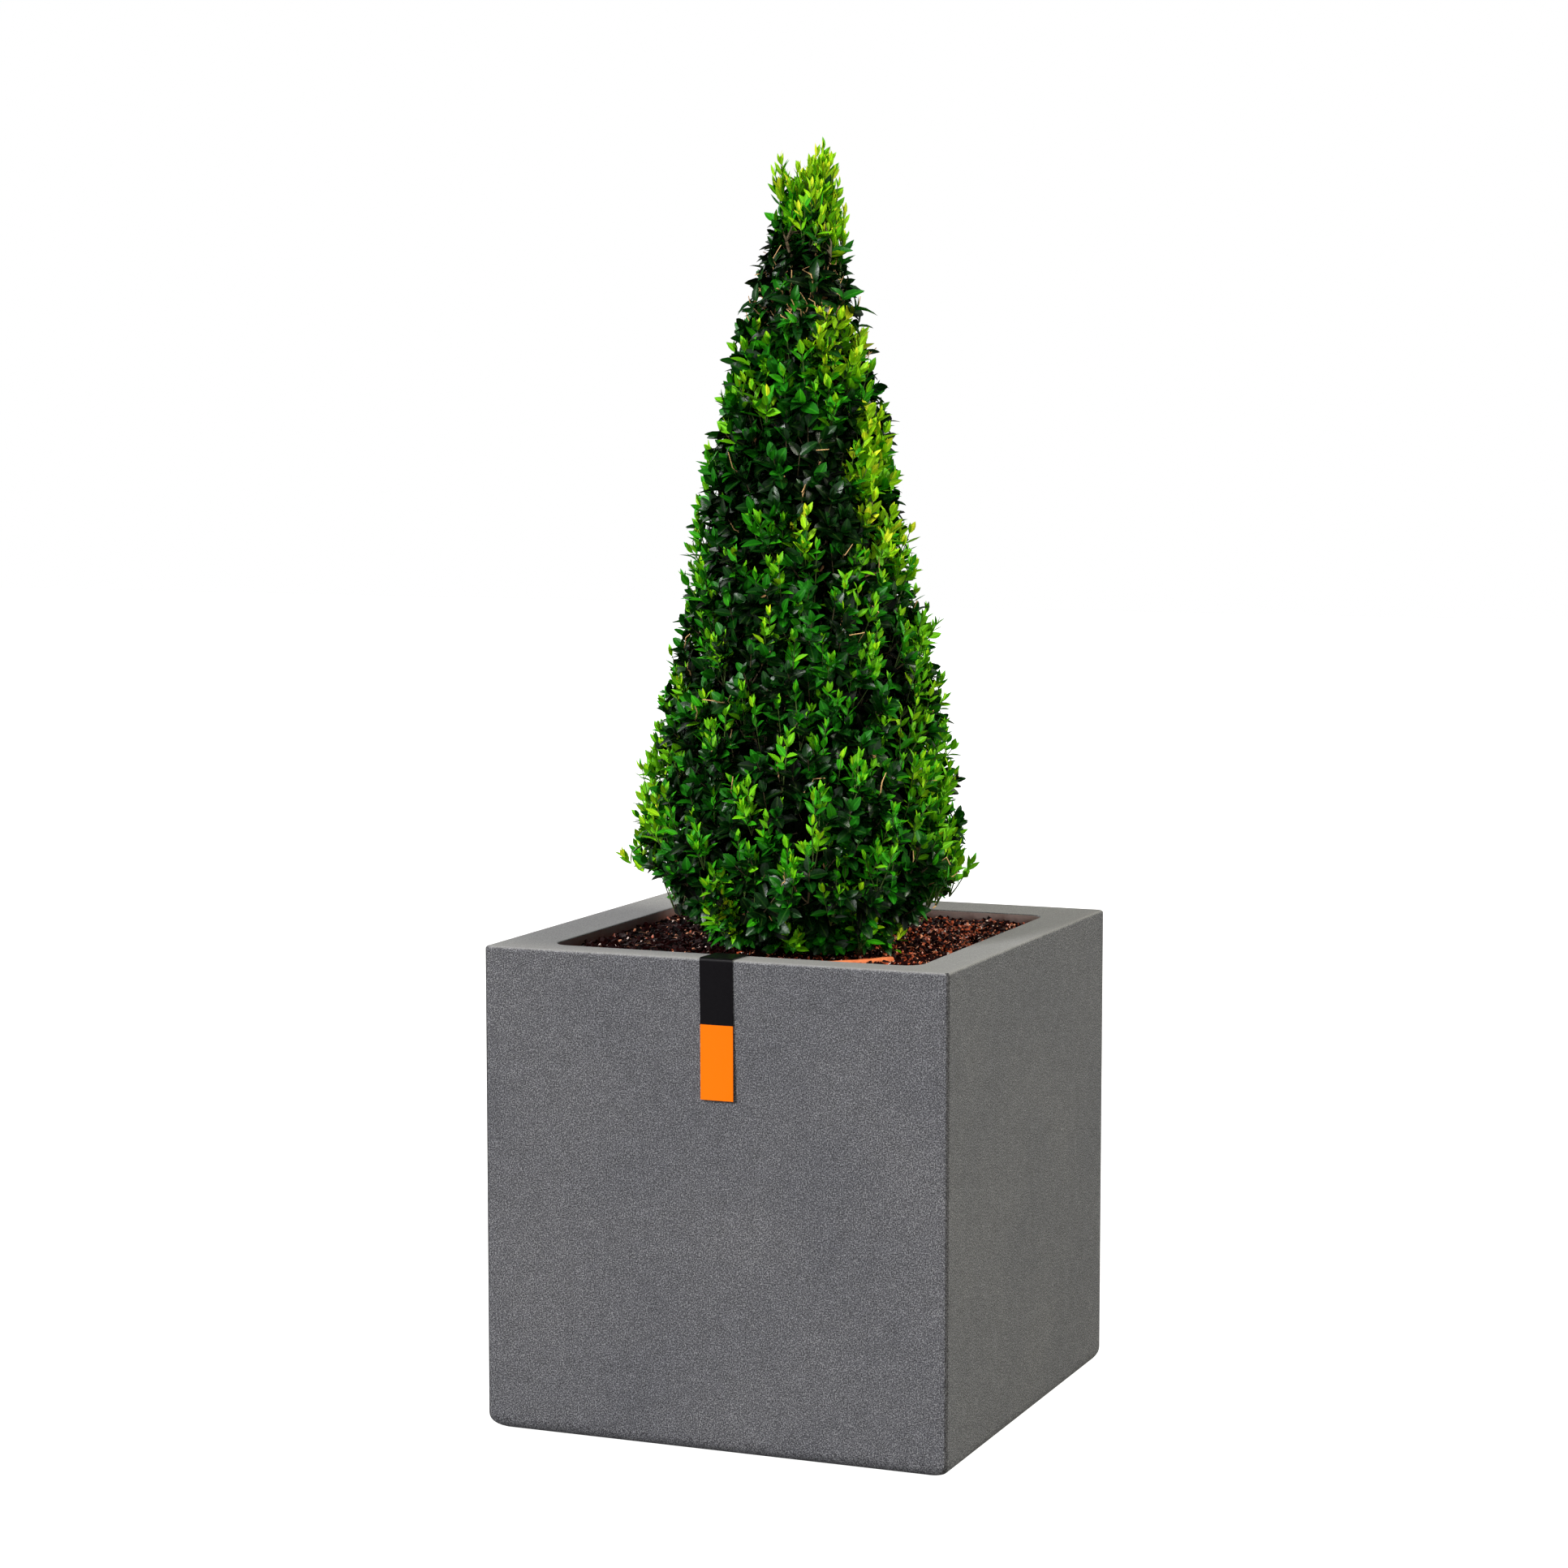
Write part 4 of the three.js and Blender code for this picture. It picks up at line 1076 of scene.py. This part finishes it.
def leaves_of(shoots):
    """Leaves in crossed pairs along each shoot and one at its tip, as a dictionary of arrays."""
    rng, fresh = shoots["rng"], shoots["fresh"]
    z = shoots["base"][:, 2]
    count = len(z)

    def new_or_old(new, old):
        return np.where(fresh, rng.uniform(*new, count), rng.uniform(*old, count))

    pairs = np.where(fresh, rng.integers(3, 5, count), rng.integers(3, 6, count)) + (fresh & (z < LEAFY_Z))
    first_turn = rng.uniform(0, 2 * math.pi, count)
    in_tuft = tinted(shoots["tint"], "tuft")
    zone = np.where(fresh, 0, band(z, BARE_Z))
    large = np.where(fresh, 0, band(z, LARGE_Z))
    upper = np.where(fresh & ~in_tuft, smoothstep(z, *UPPER_Z), 0)
    hanging = np.where(fresh, 0, HANGING[0] + HANGING[1] * (1 - smoothstep(z, *HANGING_Z)))
    bare = np.maximum(BARE_SHARE * zone, LARGE_GAPS * large)
    closing = np.where(in_tuft, TUFT_CLOSING, 1.0)
    lengthening = np.where(in_tuft, TUFT_LENGTH, 1 + LARGE_GROWTH * large + UPPER_GROWTH * upper)
    broadening = np.where(in_tuft, TUFT_BREADTH, 1 + UPPER_GROWTH * upper)
    wider = np.where(fresh, -1, 2)
    lit = np.where(fresh, 0.85, 0.7)[:, None]
    groups = []
    for rank, (open_deg, place, old_size, new_size) in enumerate(RANKS):
        share = np.full(count, place) + rng.normal(0, 0.02, count)
        point, tangent = on_shoot(shoots, np.clip(share, 0.1, 1))
        across = square_to(np.tile((0.2, 0.35, 0.9), (count, 1)), tangent)
        other = np.cross(tangent, across)
        for half in (0, 1) if rank else (0,):
            there = np.flatnonzero((rank <= pairs) & (rng.random(count) >= bare))
            if not len(there):
                continue
            turn = first_turn + rank * math.pi / 2 + half * math.pi + rng.normal(0, 0.16, count)
            opening = np.radians((open_deg + wider) * closing + rng.normal(0, 8, count))[:, None]
            side = np.cos(turn)[:, None] * across + np.sin(turn)[:, None] * other
            along = tangent * np.cos(opening) + side * np.sin(opening) - hanging[:, None] * UP
            along = unit(along + rng.normal(0, 0.07, (count, 3)))
            above = tangent * np.sin(opening) - side * np.cos(opening)
            out = unit((point - plant_axis(point[:, 2])) * (1, 1, 0) + np.array((0, 0, 1e-4)))
            light = unit(out * np.where(fresh, 0.6, 1.0)[:, None] + 0.7 * UP)
            facing = above * (1.1 - lit) + light * lit + rng.normal(0, 0.22, (count, 3))
            length = new_or_old(*LENGTHS) * lengthening * np.where(fresh, new_size, old_size) * MM
            breadth = new_or_old(*BREADTHS) * (1 - BARE_NARROWING * zone) * broadening
            kind = TINT_KINDS[shoots["tint"], rank]
            step = rng.random(count)
            can_shift = (kind > 0) & (kind < KIND["yellow"])
            kind = kind - (can_shift & (step < OLDER_CHANCE)) + (can_shift & (step > 1 - NEWER_CHANCE))
            group = {
                "root": point,
                "along": along,
                "facing": square_to(facing, along),
                "length": length,
                "width": length * breadth,
                "fold": new_or_old(*FOLDS) + BARE_FOLD * zone,
                "curl": new_or_old(*CURLS) + BARE_CURL * zone,
                "kind": kind,
                "point": np.where(fresh, *LEAF_POINTS),
            }
            groups.append(chosen(group, there))
    return {key: np.concatenate([group[key] for group in groups]) for key in groups[0]}


def chosen(group, keep):
    return {key: value[keep] for key, value in group.items()}


# Where the points of a leaf are, with and without a rib: along it, across it, and across its stalk
RIBBED_LEAF = ((0.13, 0.36, 0.64, 0.89), (-1, -0.11, 0.11, 1), (-0.09, 0.09))
PLAIN_LEAF = ((0.28, 0.80), (-1, 0, 1), (0,))
WIDEST = 0.86


def leaf_template(ribbed):
    """A leaf's points as (along, across), 1 across being its edge, and its triangles with 1 on the rib."""
    stations, columns, stalk = RIBBED_LEAF if ribbed else PLAIN_LEAF
    points = [(0, column) for column in stalk]
    start, wide = len(points), len(columns)
    points += [(station, column) for station in stations for column in columns] + [(1, 0)]
    tip = len(points) - 1
    triangles = [(0, start, start + 1), (0, start + 1, start + 2)]
    slots = [0, int(ribbed)]
    if ribbed:
        triangles += [(0, start + 2, 1), (1, start + 2, start + 3)]
        slots += [1, 0]
    for low in range(start, tip - wide, wide):
        for corner in range(low, low + wide - 1):
            over = corner + wide
            triangles += [(corner, over, over + 1), (corner, over + 1, corner + 1)]
            slots += [int(ribbed and corner == low + 1)] * 2
    for corner in range(tip - wide, tip - 1):
        triangles.append((corner, tip, corner + 1))
        slots.append(int(ribbed and corner == tip - wide + 1))
    return np.array(points, float), np.array(triangles)[:, ::-1], np.array(slots)


def leaf_meshes(leaves, ribbed):
    """Points of the leaves, triangles and slots. A leaf is a narrow ellipse, widest just before its middle."""
    template, triangles, slots = leaf_template(ribbed)
    along_share, columns = template.T
    length, width, fold, curl, point = (leaves[key][:, None] for key in ("length", "width", "fold", "curl", "point"))
    outline = np.sin(math.pi * along_share**WIDEST) ** point
    side = np.cross(leaves["facing"], leaves["along"])
    across = columns * np.where(np.abs(columns) == 1, outline, 1) * (width / 2)
    lift = np.abs(across) * fold - curl * length * along_share**2
    points = (
        leaves["root"][:, None]
        + leaves["along"][:, None] * (along_share * length)[:, :, None]
        + side[:, None] * across[:, :, None]
        + leaves["facing"][:, None] * lift[:, :, None]
    )
    faces = np.arange(len(points))[:, None, None] * len(template) + triangles
    return points.reshape(-1, 3), faces.reshape(-1, 3), np.tile(slots, len(points))


# How far above the mix and the rim the growth stays
MIX_GAP = 1.5 * MM
RIM_GAP = 2 * MM

# The foot's outline: how far leaves may pass the source's, further at the front, and the notch on its left
FOOT_TOP_Z = 458 * MM
FOOT_REACH = 5 * MM
FOOT_FRONT_REACH = 38 * MM
FOOT_FRONT_TURN_DEG = -66
FOOT_NOTCH = 21 * MM
FOOT_NOTCH_Z = 441 * MM
FOOT_NOTCH_HEIGHT = 20 * MM


def clear_of_pot(low_points):
    """True where a point stays above the mix and, past the cavity's walls, above the rim."""
    over_mix = np.max(np.abs(low_points[:, :2]), axis=1) < CAVITY_HALF - RIM_GAP
    return low_points[:, 2] > np.where(over_mix, SOIL_LEVEL + MIX_GAP, RIM_Z + RIM_GAP)


def inside_foot(points):
    """True where a point stays inside the foot's outline."""
    z = points[:, 2]
    off = points - plant_axis(z)
    turn = np.arctan2(off[:, 1], off[:, 0])
    side = smoothstep(np.cos(turn - math.radians(FOOT_TUCK_TURN_DEG)), 0.3, 0.9)
    near = 1 - smoothstep(np.abs(z - FOOT_NOTCH_Z), 0, FOOT_NOTCH_HEIGHT)
    front = smoothstep(np.cos(turn - math.radians(FOOT_FRONT_TURN_DEG)), 0.45, 0.75)
    limit = crown_radius(z) + FOOT_REACH + FOOT_FRONT_REACH * front - FOOT_NOTCH * side * near
    return (z > FOOT_TOP_Z) | (np.hypot(off[:, 0], off[:, 1]) < limit)


def clear_leaves(leaves):
    """The leaves that stay clear of the pot and inside the foot."""
    root = leaves["root"]
    tip = root + leaves["along"] * leaves["length"][:, None]
    low = np.where((tip[:, 2] < root[:, 2])[:, None], tip, root) - MIX_GAP * UP
    return chosen(leaves, clear_of_pot(low) & inside_foot(tip) & inside_foot(root))


def clear_paths(paths, *tested):
    """True for paths that stay clear of the pot and whose tested points stay inside the foot."""
    return clear_of_pot(paths.min(axis=1)) & np.all([inside_foot(paths[:, step]) for step in tested], axis=0)


# Dried leaves and cut side twigs, which old shoots carry: their number, and where along the shoot they start
DRIED, DRIED_PLACES = 320, (0.55, 1.0)
STUBS, STUB_PLACES = 340, (0.7, 1.0)


def marked_shoots(rng, shoots, count, places):
    """Old shoots picked at random, most of them in the bare zone: a point on each and its direction."""
    weight = np.where(shoots["fresh"], 0, 0.10 + band(shoots["base"][:, 2], BARE_Z))
    index = rng.choice(len(weight), count, replace=False, p=weight / weight.sum())
    mine = {key: shoots[key][index] for key in ("base", "direction", "length", "bend")}
    return on_shoot(mine, rng.uniform(*places, count))[0], mine["direction"]


def dried_leaves(shoots):
    """Curled dry scraps that still hang on old shoots."""
    rng = np.random.default_rng(SEEDS["dried"])
    root, direction = marked_shoots(rng, shoots, DRIED, DRIED_PLACES)
    along = unit(direction * 0.5 + rng.normal(0, 0.6, (DRIED, 3)))
    facing = square_to(rng.normal(0, 1, (DRIED, 3)), along)
    length = rng.uniform(4, 9, DRIED) * MM
    return {
        "root": root,
        "along": along,
        "facing": facing,
        "length": length,
        "width": length * rng.uniform(0.25, 0.5, DRIED),
        "fold": rng.uniform(0.6, 1.4, DRIED),
        "curl": rng.uniform(-0.5, 0.6, DRIED),
        "kind": np.full(DRIED, KIND["dry"]),
        "point": np.full(DRIED, LEAF_POINTS[1]),
    }


def cut_stubs(shoots):
    """Side twigs of old shoots, crooked and pale where they were clipped."""
    rng = np.random.default_rng(SEEDS["stubs"])
    root, direction = marked_shoots(rng, shoots, STUBS, STUB_PLACES)
    direction = unit(direction + rng.normal(0, 0.5, (STUBS, 3)) + 0.5 * UP)
    length = rng.uniform(9, 19, STUBS)[:, None, None] * MM
    share = np.linspace(0, 1, TWIG_STEPS)[None, :, None]
    crook = rng.normal(0, 0.2, (STUBS, TWIG_STEPS, 3)) * (share > 0)
    return root[:, None] + length * (direction[:, None] * share + crook * share)


MAX_TRIANGLES = 190_000


def build_leaves(batches):
    """One piece for each kind of leaf, or more where a kind has too many triangles."""
    for kind, (colour, roughness, specular) in LEAF_KINDS.items():
        points, faces, slots, start = [], [], [], 0
        for leaves, ribbed in batches:
            mine = chosen(leaves, leaves["kind"] == KIND[kind])
            part_points, part_faces, part_slots = leaf_meshes(mine, ribbed)
            points.append(part_points)
            faces.append(part_faces + start)
            slots.append(part_slots)
            start += len(part_points)
        points, faces, slots = (np.concatenate(parts) for parts in (points, faces, slots))
        rib_colour = [min(1.0, part * 1.5 + more) for part, more in zip(colour, (0.010, 0.018, 0.002))]
        materials = [
            grained_material("leaf", kind, colour, roughness, specular),
            grained_material("leaf", kind + "_rib", rib_colour, roughness + 0.05, specular),
        ]
        pieces = math.ceil(len(faces) / MAX_TRIANGLES)
        bounds = np.linspace(0, len(faces), pieces + 1).astype(int)
        for number, (low, high) in enumerate(zip(bounds, bounds[1:]), 1):
            used, local = np.unique(faces[low:high], return_inverse=True)
            name = f"leaves_{kind}" + (f"_{number}" if pieces > 1 else "")
            piece = new_piece(name, points[used], [local.reshape(-1, 3)], materials, slots[low:high])
            finish_piece(piece, "foliage", *MASSES)


# Stem, boughs and twigs

STEM_RADIUS, STEM_TIP_RADIUS = 9 * MM, 2.6 * MM
STEM_FLARE_HEIGHT = 26 * MM
STEM_RINGS, STEM_SIDES = 230, 28
STEM_TWIST = 0.6
BOUGHS, BOUGH_STEPS, BOUGH_SIDES = 84, 9, 8
BOUGH_TIPS_Z = (0.425, 0.968)
BOUGH_REACH = 0.66
BOUGH_TIP_RADIUS = 1.2 * MM
TWIG_STEPS, TWIG_SIDES = 4, 3

# Twigs: their radius and colour
TWIGS = {
    "green": (0.75 * MM, (0.07, 0.12, 0.022)),
    "brown": (0.9 * MM, (0.085, 0.065, 0.03)),
    "tan": (0.85 * MM, (0.70, 0.42, 0.18)),
}


def bough_paths():
    """Boughs that leave the stem in a spiral and rise to where the sprays start."""
    tip_z = np.linspace(*BOUGH_TIPS_Z, BOUGHS)
    reach = BOUGH_REACH * crown_radius(tip_z)
    root_z = np.maximum(STEM_LOW.z + 12 * MM, tip_z - 0.85 * reach - 12 * MM)
    root, tip = plant_axis(root_z), off_axis(tip_z, reach, np.arange(BOUGHS) * GOLDEN_ANGLE)
    middle = blend(root, tip, 0.5)
    middle[:, 2] = blend(root_z, tip_z, 0.28)
    return curves(BOUGH_STEPS, root, middle, tip)


def twig_paths(sprays, boughs):
    """Twigs that leave the nearest outer stretch of a bough and end where a spray starts."""
    tangents = unit(np.gradient(boughs, axis=1))[:, 3:].reshape(-1, 3)
    places = boughs[:, 3:].reshape(-1, 3)
    nearest = []
    for base, direction in zip(sprays["base"], sprays["direction"]):
        behind = (base - places) @ direction
        nearest.append(np.argmin(np.linalg.norm(places - base, axis=1) + np.where(behind < 0, 30 * MM, 0)))
    starts, leaving = places[nearest], tangents[nearest]
    reach = np.linalg.norm(sprays["base"] - starts, axis=1)[:, None] * 0.4
    second, third = starts + leaving * reach, sprays["base"] - sprays["direction"] * reach
    return curves(TWIG_STEPS, starts, second, third, sprays["base"])


def build_stem(boughs):
    """The stem with ridged bark, and the boughs, which start inside it."""
    z = np.linspace(STEM_LOW.z, STEM_HIGH.z, STEM_RINGS)[:, None]
    turns = np.linspace(0, 2 * math.pi, STEM_SIDES, endpoint=False)
    share = (z - STEM_LOW.z) / (STEM_HIGH.z - STEM_LOW.z)
    flare = (STEM_FOOT_RADIUS - STEM_RADIUS) * (1 - smoothstep(z, SOIL_LEVEL, SOIL_LEVEL + STEM_FLARE_HEIGHT))
    radius = blend(STEM_RADIUS, STEM_TIP_RADIUS, share) + flare
    around = turns + STEM_TWIST * share
    ridges = value_noise(around * 20 * MM, z + 0 * around, 7 * MM, "bark")
    fine = value_noise(around * 30 * MM, z + 0 * around, 3 * MM, "bark_fine")
    relief = 1 - 0.10 * ridges - 0.05 * fine
    points = plant_axis(z) + (radius * relief)[:, :, None] * outward(turns)
    bark = patterned_material("bark")
    stem = new_piece("stem_bark", points, loft_faces(STEM_RINGS, STEM_SIDES), [bark])
    finish_piece(stem, "bark", "stem")
    thick = crown_radius(boughs[:, -1, 2])[:, None] / SKIRT_RADIUS
    radii = blend(BOUGH_TIP_RADIUS, (2.0 + 2.2 * thick) * MM, np.linspace(1, 0, BOUGH_STEPS))
    points, quads = tubes(boughs, radii, BOUGH_SIDES)
    finish_piece(new_piece("boughs", points, [quads], [bark]), "bark", *MASSES)


def build_twigs(name, paths):
    paths = np.concatenate(paths)
    radius, colour = TWIGS[name]
    radii = np.tile(radius * np.linspace(1, 0.5, TWIG_STEPS), (len(paths), 1))
    points, quads = tubes(paths, radii, TWIG_SIDES)
    piece = new_piece("twigs_" + name, points, [quads], [grained_material("twig", name, colour, 0.6, 0.4)])
    finish_piece(piece, "bark", *MASSES)


def build_foliage():
    boughs = bough_paths()
    build_stem(boughs)
    hem_z = np.random.default_rng(SEEDS["hem"]).uniform(*HEM_Z, HEM_LAYER.sprays)
    layers = [(layer, layer_sprays(index, layer, even_heights(layer.sprays))) for index, layer in enumerate(LAYERS)]
    layers.append((HEM_LAYER, layer_sprays(HEM, HEM_LAYER, hem_z)))
    layers += [(FOOT_LAYER, foot_sprays()), (TUFT_LAYER, tuft_sprays())]
    batches = []
    paths = {name: [] for name in TWIGS}
    for layer, sprays in layers:
        shoots = shoots_of(sprays, layer)
        batches.append((clear_leaves(leaves_of(shoots)), layer.ribbed))
        along = [on_shoot(shoots, np.full(len(shoots["base"]), share))[0] for share in np.linspace(0, 1, TWIG_STEPS)]
        along = np.stack(along, axis=1)
        clear = clear_paths(along, -1, 1)
        bare = band(shoots["base"][:, 2], BARE_Z) > 0.3
        paths["green"].append(along[clear & shoots["fresh"]])
        paths["tan"].append(along[clear & ~shoots["fresh"] & bare])
        paths["brown"].append(along[clear & ~shoots["fresh"] & ~bare])
        if layer is LAYERS[0]:
            batches.append((dried_leaves(shoots), False))
            paths["tan"].append(cut_stubs(shoots))
        twigs = twig_paths(sprays, boughs)
        paths["brown"].append(twigs[clear_paths(twigs, -1, 2)])
    build_leaves(batches)
    for name, group in paths.items():
        build_twigs(name, group)


# Stage, lights and camera

CAMERA_TURN_DEG = 21.91
CAMERA_DISTANCE = 3.064
CAMERA_HEIGHT = 0.8286
CAMERA_LENS = 84.52
CAMERA_YAW_DEG = 0.33
CAMERA_PITCH_DEG = 5.74
CAMERA_RANGE = (0.05, 60)
ROOM_LIGHT = 0.17
FLOOR_BOUNCE = (0.30, 0.30, 0.30)
FLOOR_HALF = 12
LIGHT_DISTANCE = 4

# Light from far off, spread as by a large softbox: turn round the plant, height and softness in degrees, strength
# and colour
SOFT_LIGHTS = {
    "key_light": (-120, 28, 24, 4.0, (1, 1, 1)),
    "side_light": (9, 29, 30, 3.42, (1, 0.99, 0.84)),
    "fill_light": (-64, 10, 40, 0.5, (1, 1, 1)),
    "back_light": (145, 30, 40, 0.9, (1, 1, 1)),
}


def add_camera():
    data = bpy.data.cameras.new("camera")
    data.lens = CAMERA_LENS
    data.sensor_width = 36
    data.sensor_fit = "HORIZONTAL"
    data.clip_start, data.clip_end = CAMERA_RANGE
    camera = bpy.data.objects.new("camera", data)
    turn, yaw, pitch = (math.radians(part) for part in (CAMERA_TURN_DEG, CAMERA_YAW_DEG, CAMERA_PITCH_DEG))
    camera.location = (CAMERA_DISTANCE * math.sin(turn), -CAMERA_DISTANCE * math.cos(turn), CAMERA_HEIGHT)
    camera.rotation_euler = (math.pi / 2 - pitch, 0, turn + yaw)
    bpy.context.scene.collection.objects.link(camera)
    bpy.context.scene.camera = camera


def add_soft_light(name, turn_deg, height_deg, softness_deg, strength, colour):
    data = bpy.data.lights.new(name, "SUN")
    data.angle = math.radians(softness_deg)
    data.energy = strength
    data.color = colour
    light = bpy.data.objects.new(name, data)
    towards = Vector(outward(math.radians(turn_deg), math.radians(height_deg)))
    light.rotation_euler = towards.to_track_quat("Z", "Y").to_euler()
    light.location = towards * LIGHT_DISTANCE
    bpy.context.scene.collection.objects.link(light)


def camera_ray(tree):
    return add_node(tree, "LightPath").outputs["Is Camera Ray"]


def add_stage():
    """A pale floor and soft light from all round, with more from the sides that light the photograph."""
    corners = [(x * FLOOR_HALF, y * FLOOR_HALF, 0) for x, y in ((-1, -1), (1, -1), (1, 1), (-1, 1))]
    material, tree, shader = new_material("floor", FLOOR_BOUNCE, 0.9, 0.0)
    shader.inputs["Emission Color"].default_value = (1, 1, 1, 1)
    tree.links.new(camera_ray(tree), shader.inputs["Emission Strength"])
    floor = new_piece("floor", corners, [np.array([(0, 1, 2, 3)])], [material])
    world = bpy.data.worlds.new("studio")
    world.use_nodes = True
    tree = world.node_tree
    background = tree.nodes["Background"]
    background.inputs["Color"].default_value = (1, 1, 1, 1)
    strength = spread(tree, camera_ray(tree), 0, 1, ROOM_LIGHT, 1.0)
    tree.links.new(strength, background.inputs["Strength"])
    bpy.context.scene.world = world
    for name, light in SOFT_LIGHTS.items():
        add_soft_light(name, *light)
    bpy.context.scene.view_settings.view_transform = "Standard"
    bpy.context.scene.view_settings.look = "None"


add_camera()
add_stage()
build_planter()
build_mix_bed()
for offset, name in enumerate(CHIPS):
    build_chips(name, SEEDS["chips"] + offset)
build_fibres()
build_pot_rim()
build_tag()
build_foliage()
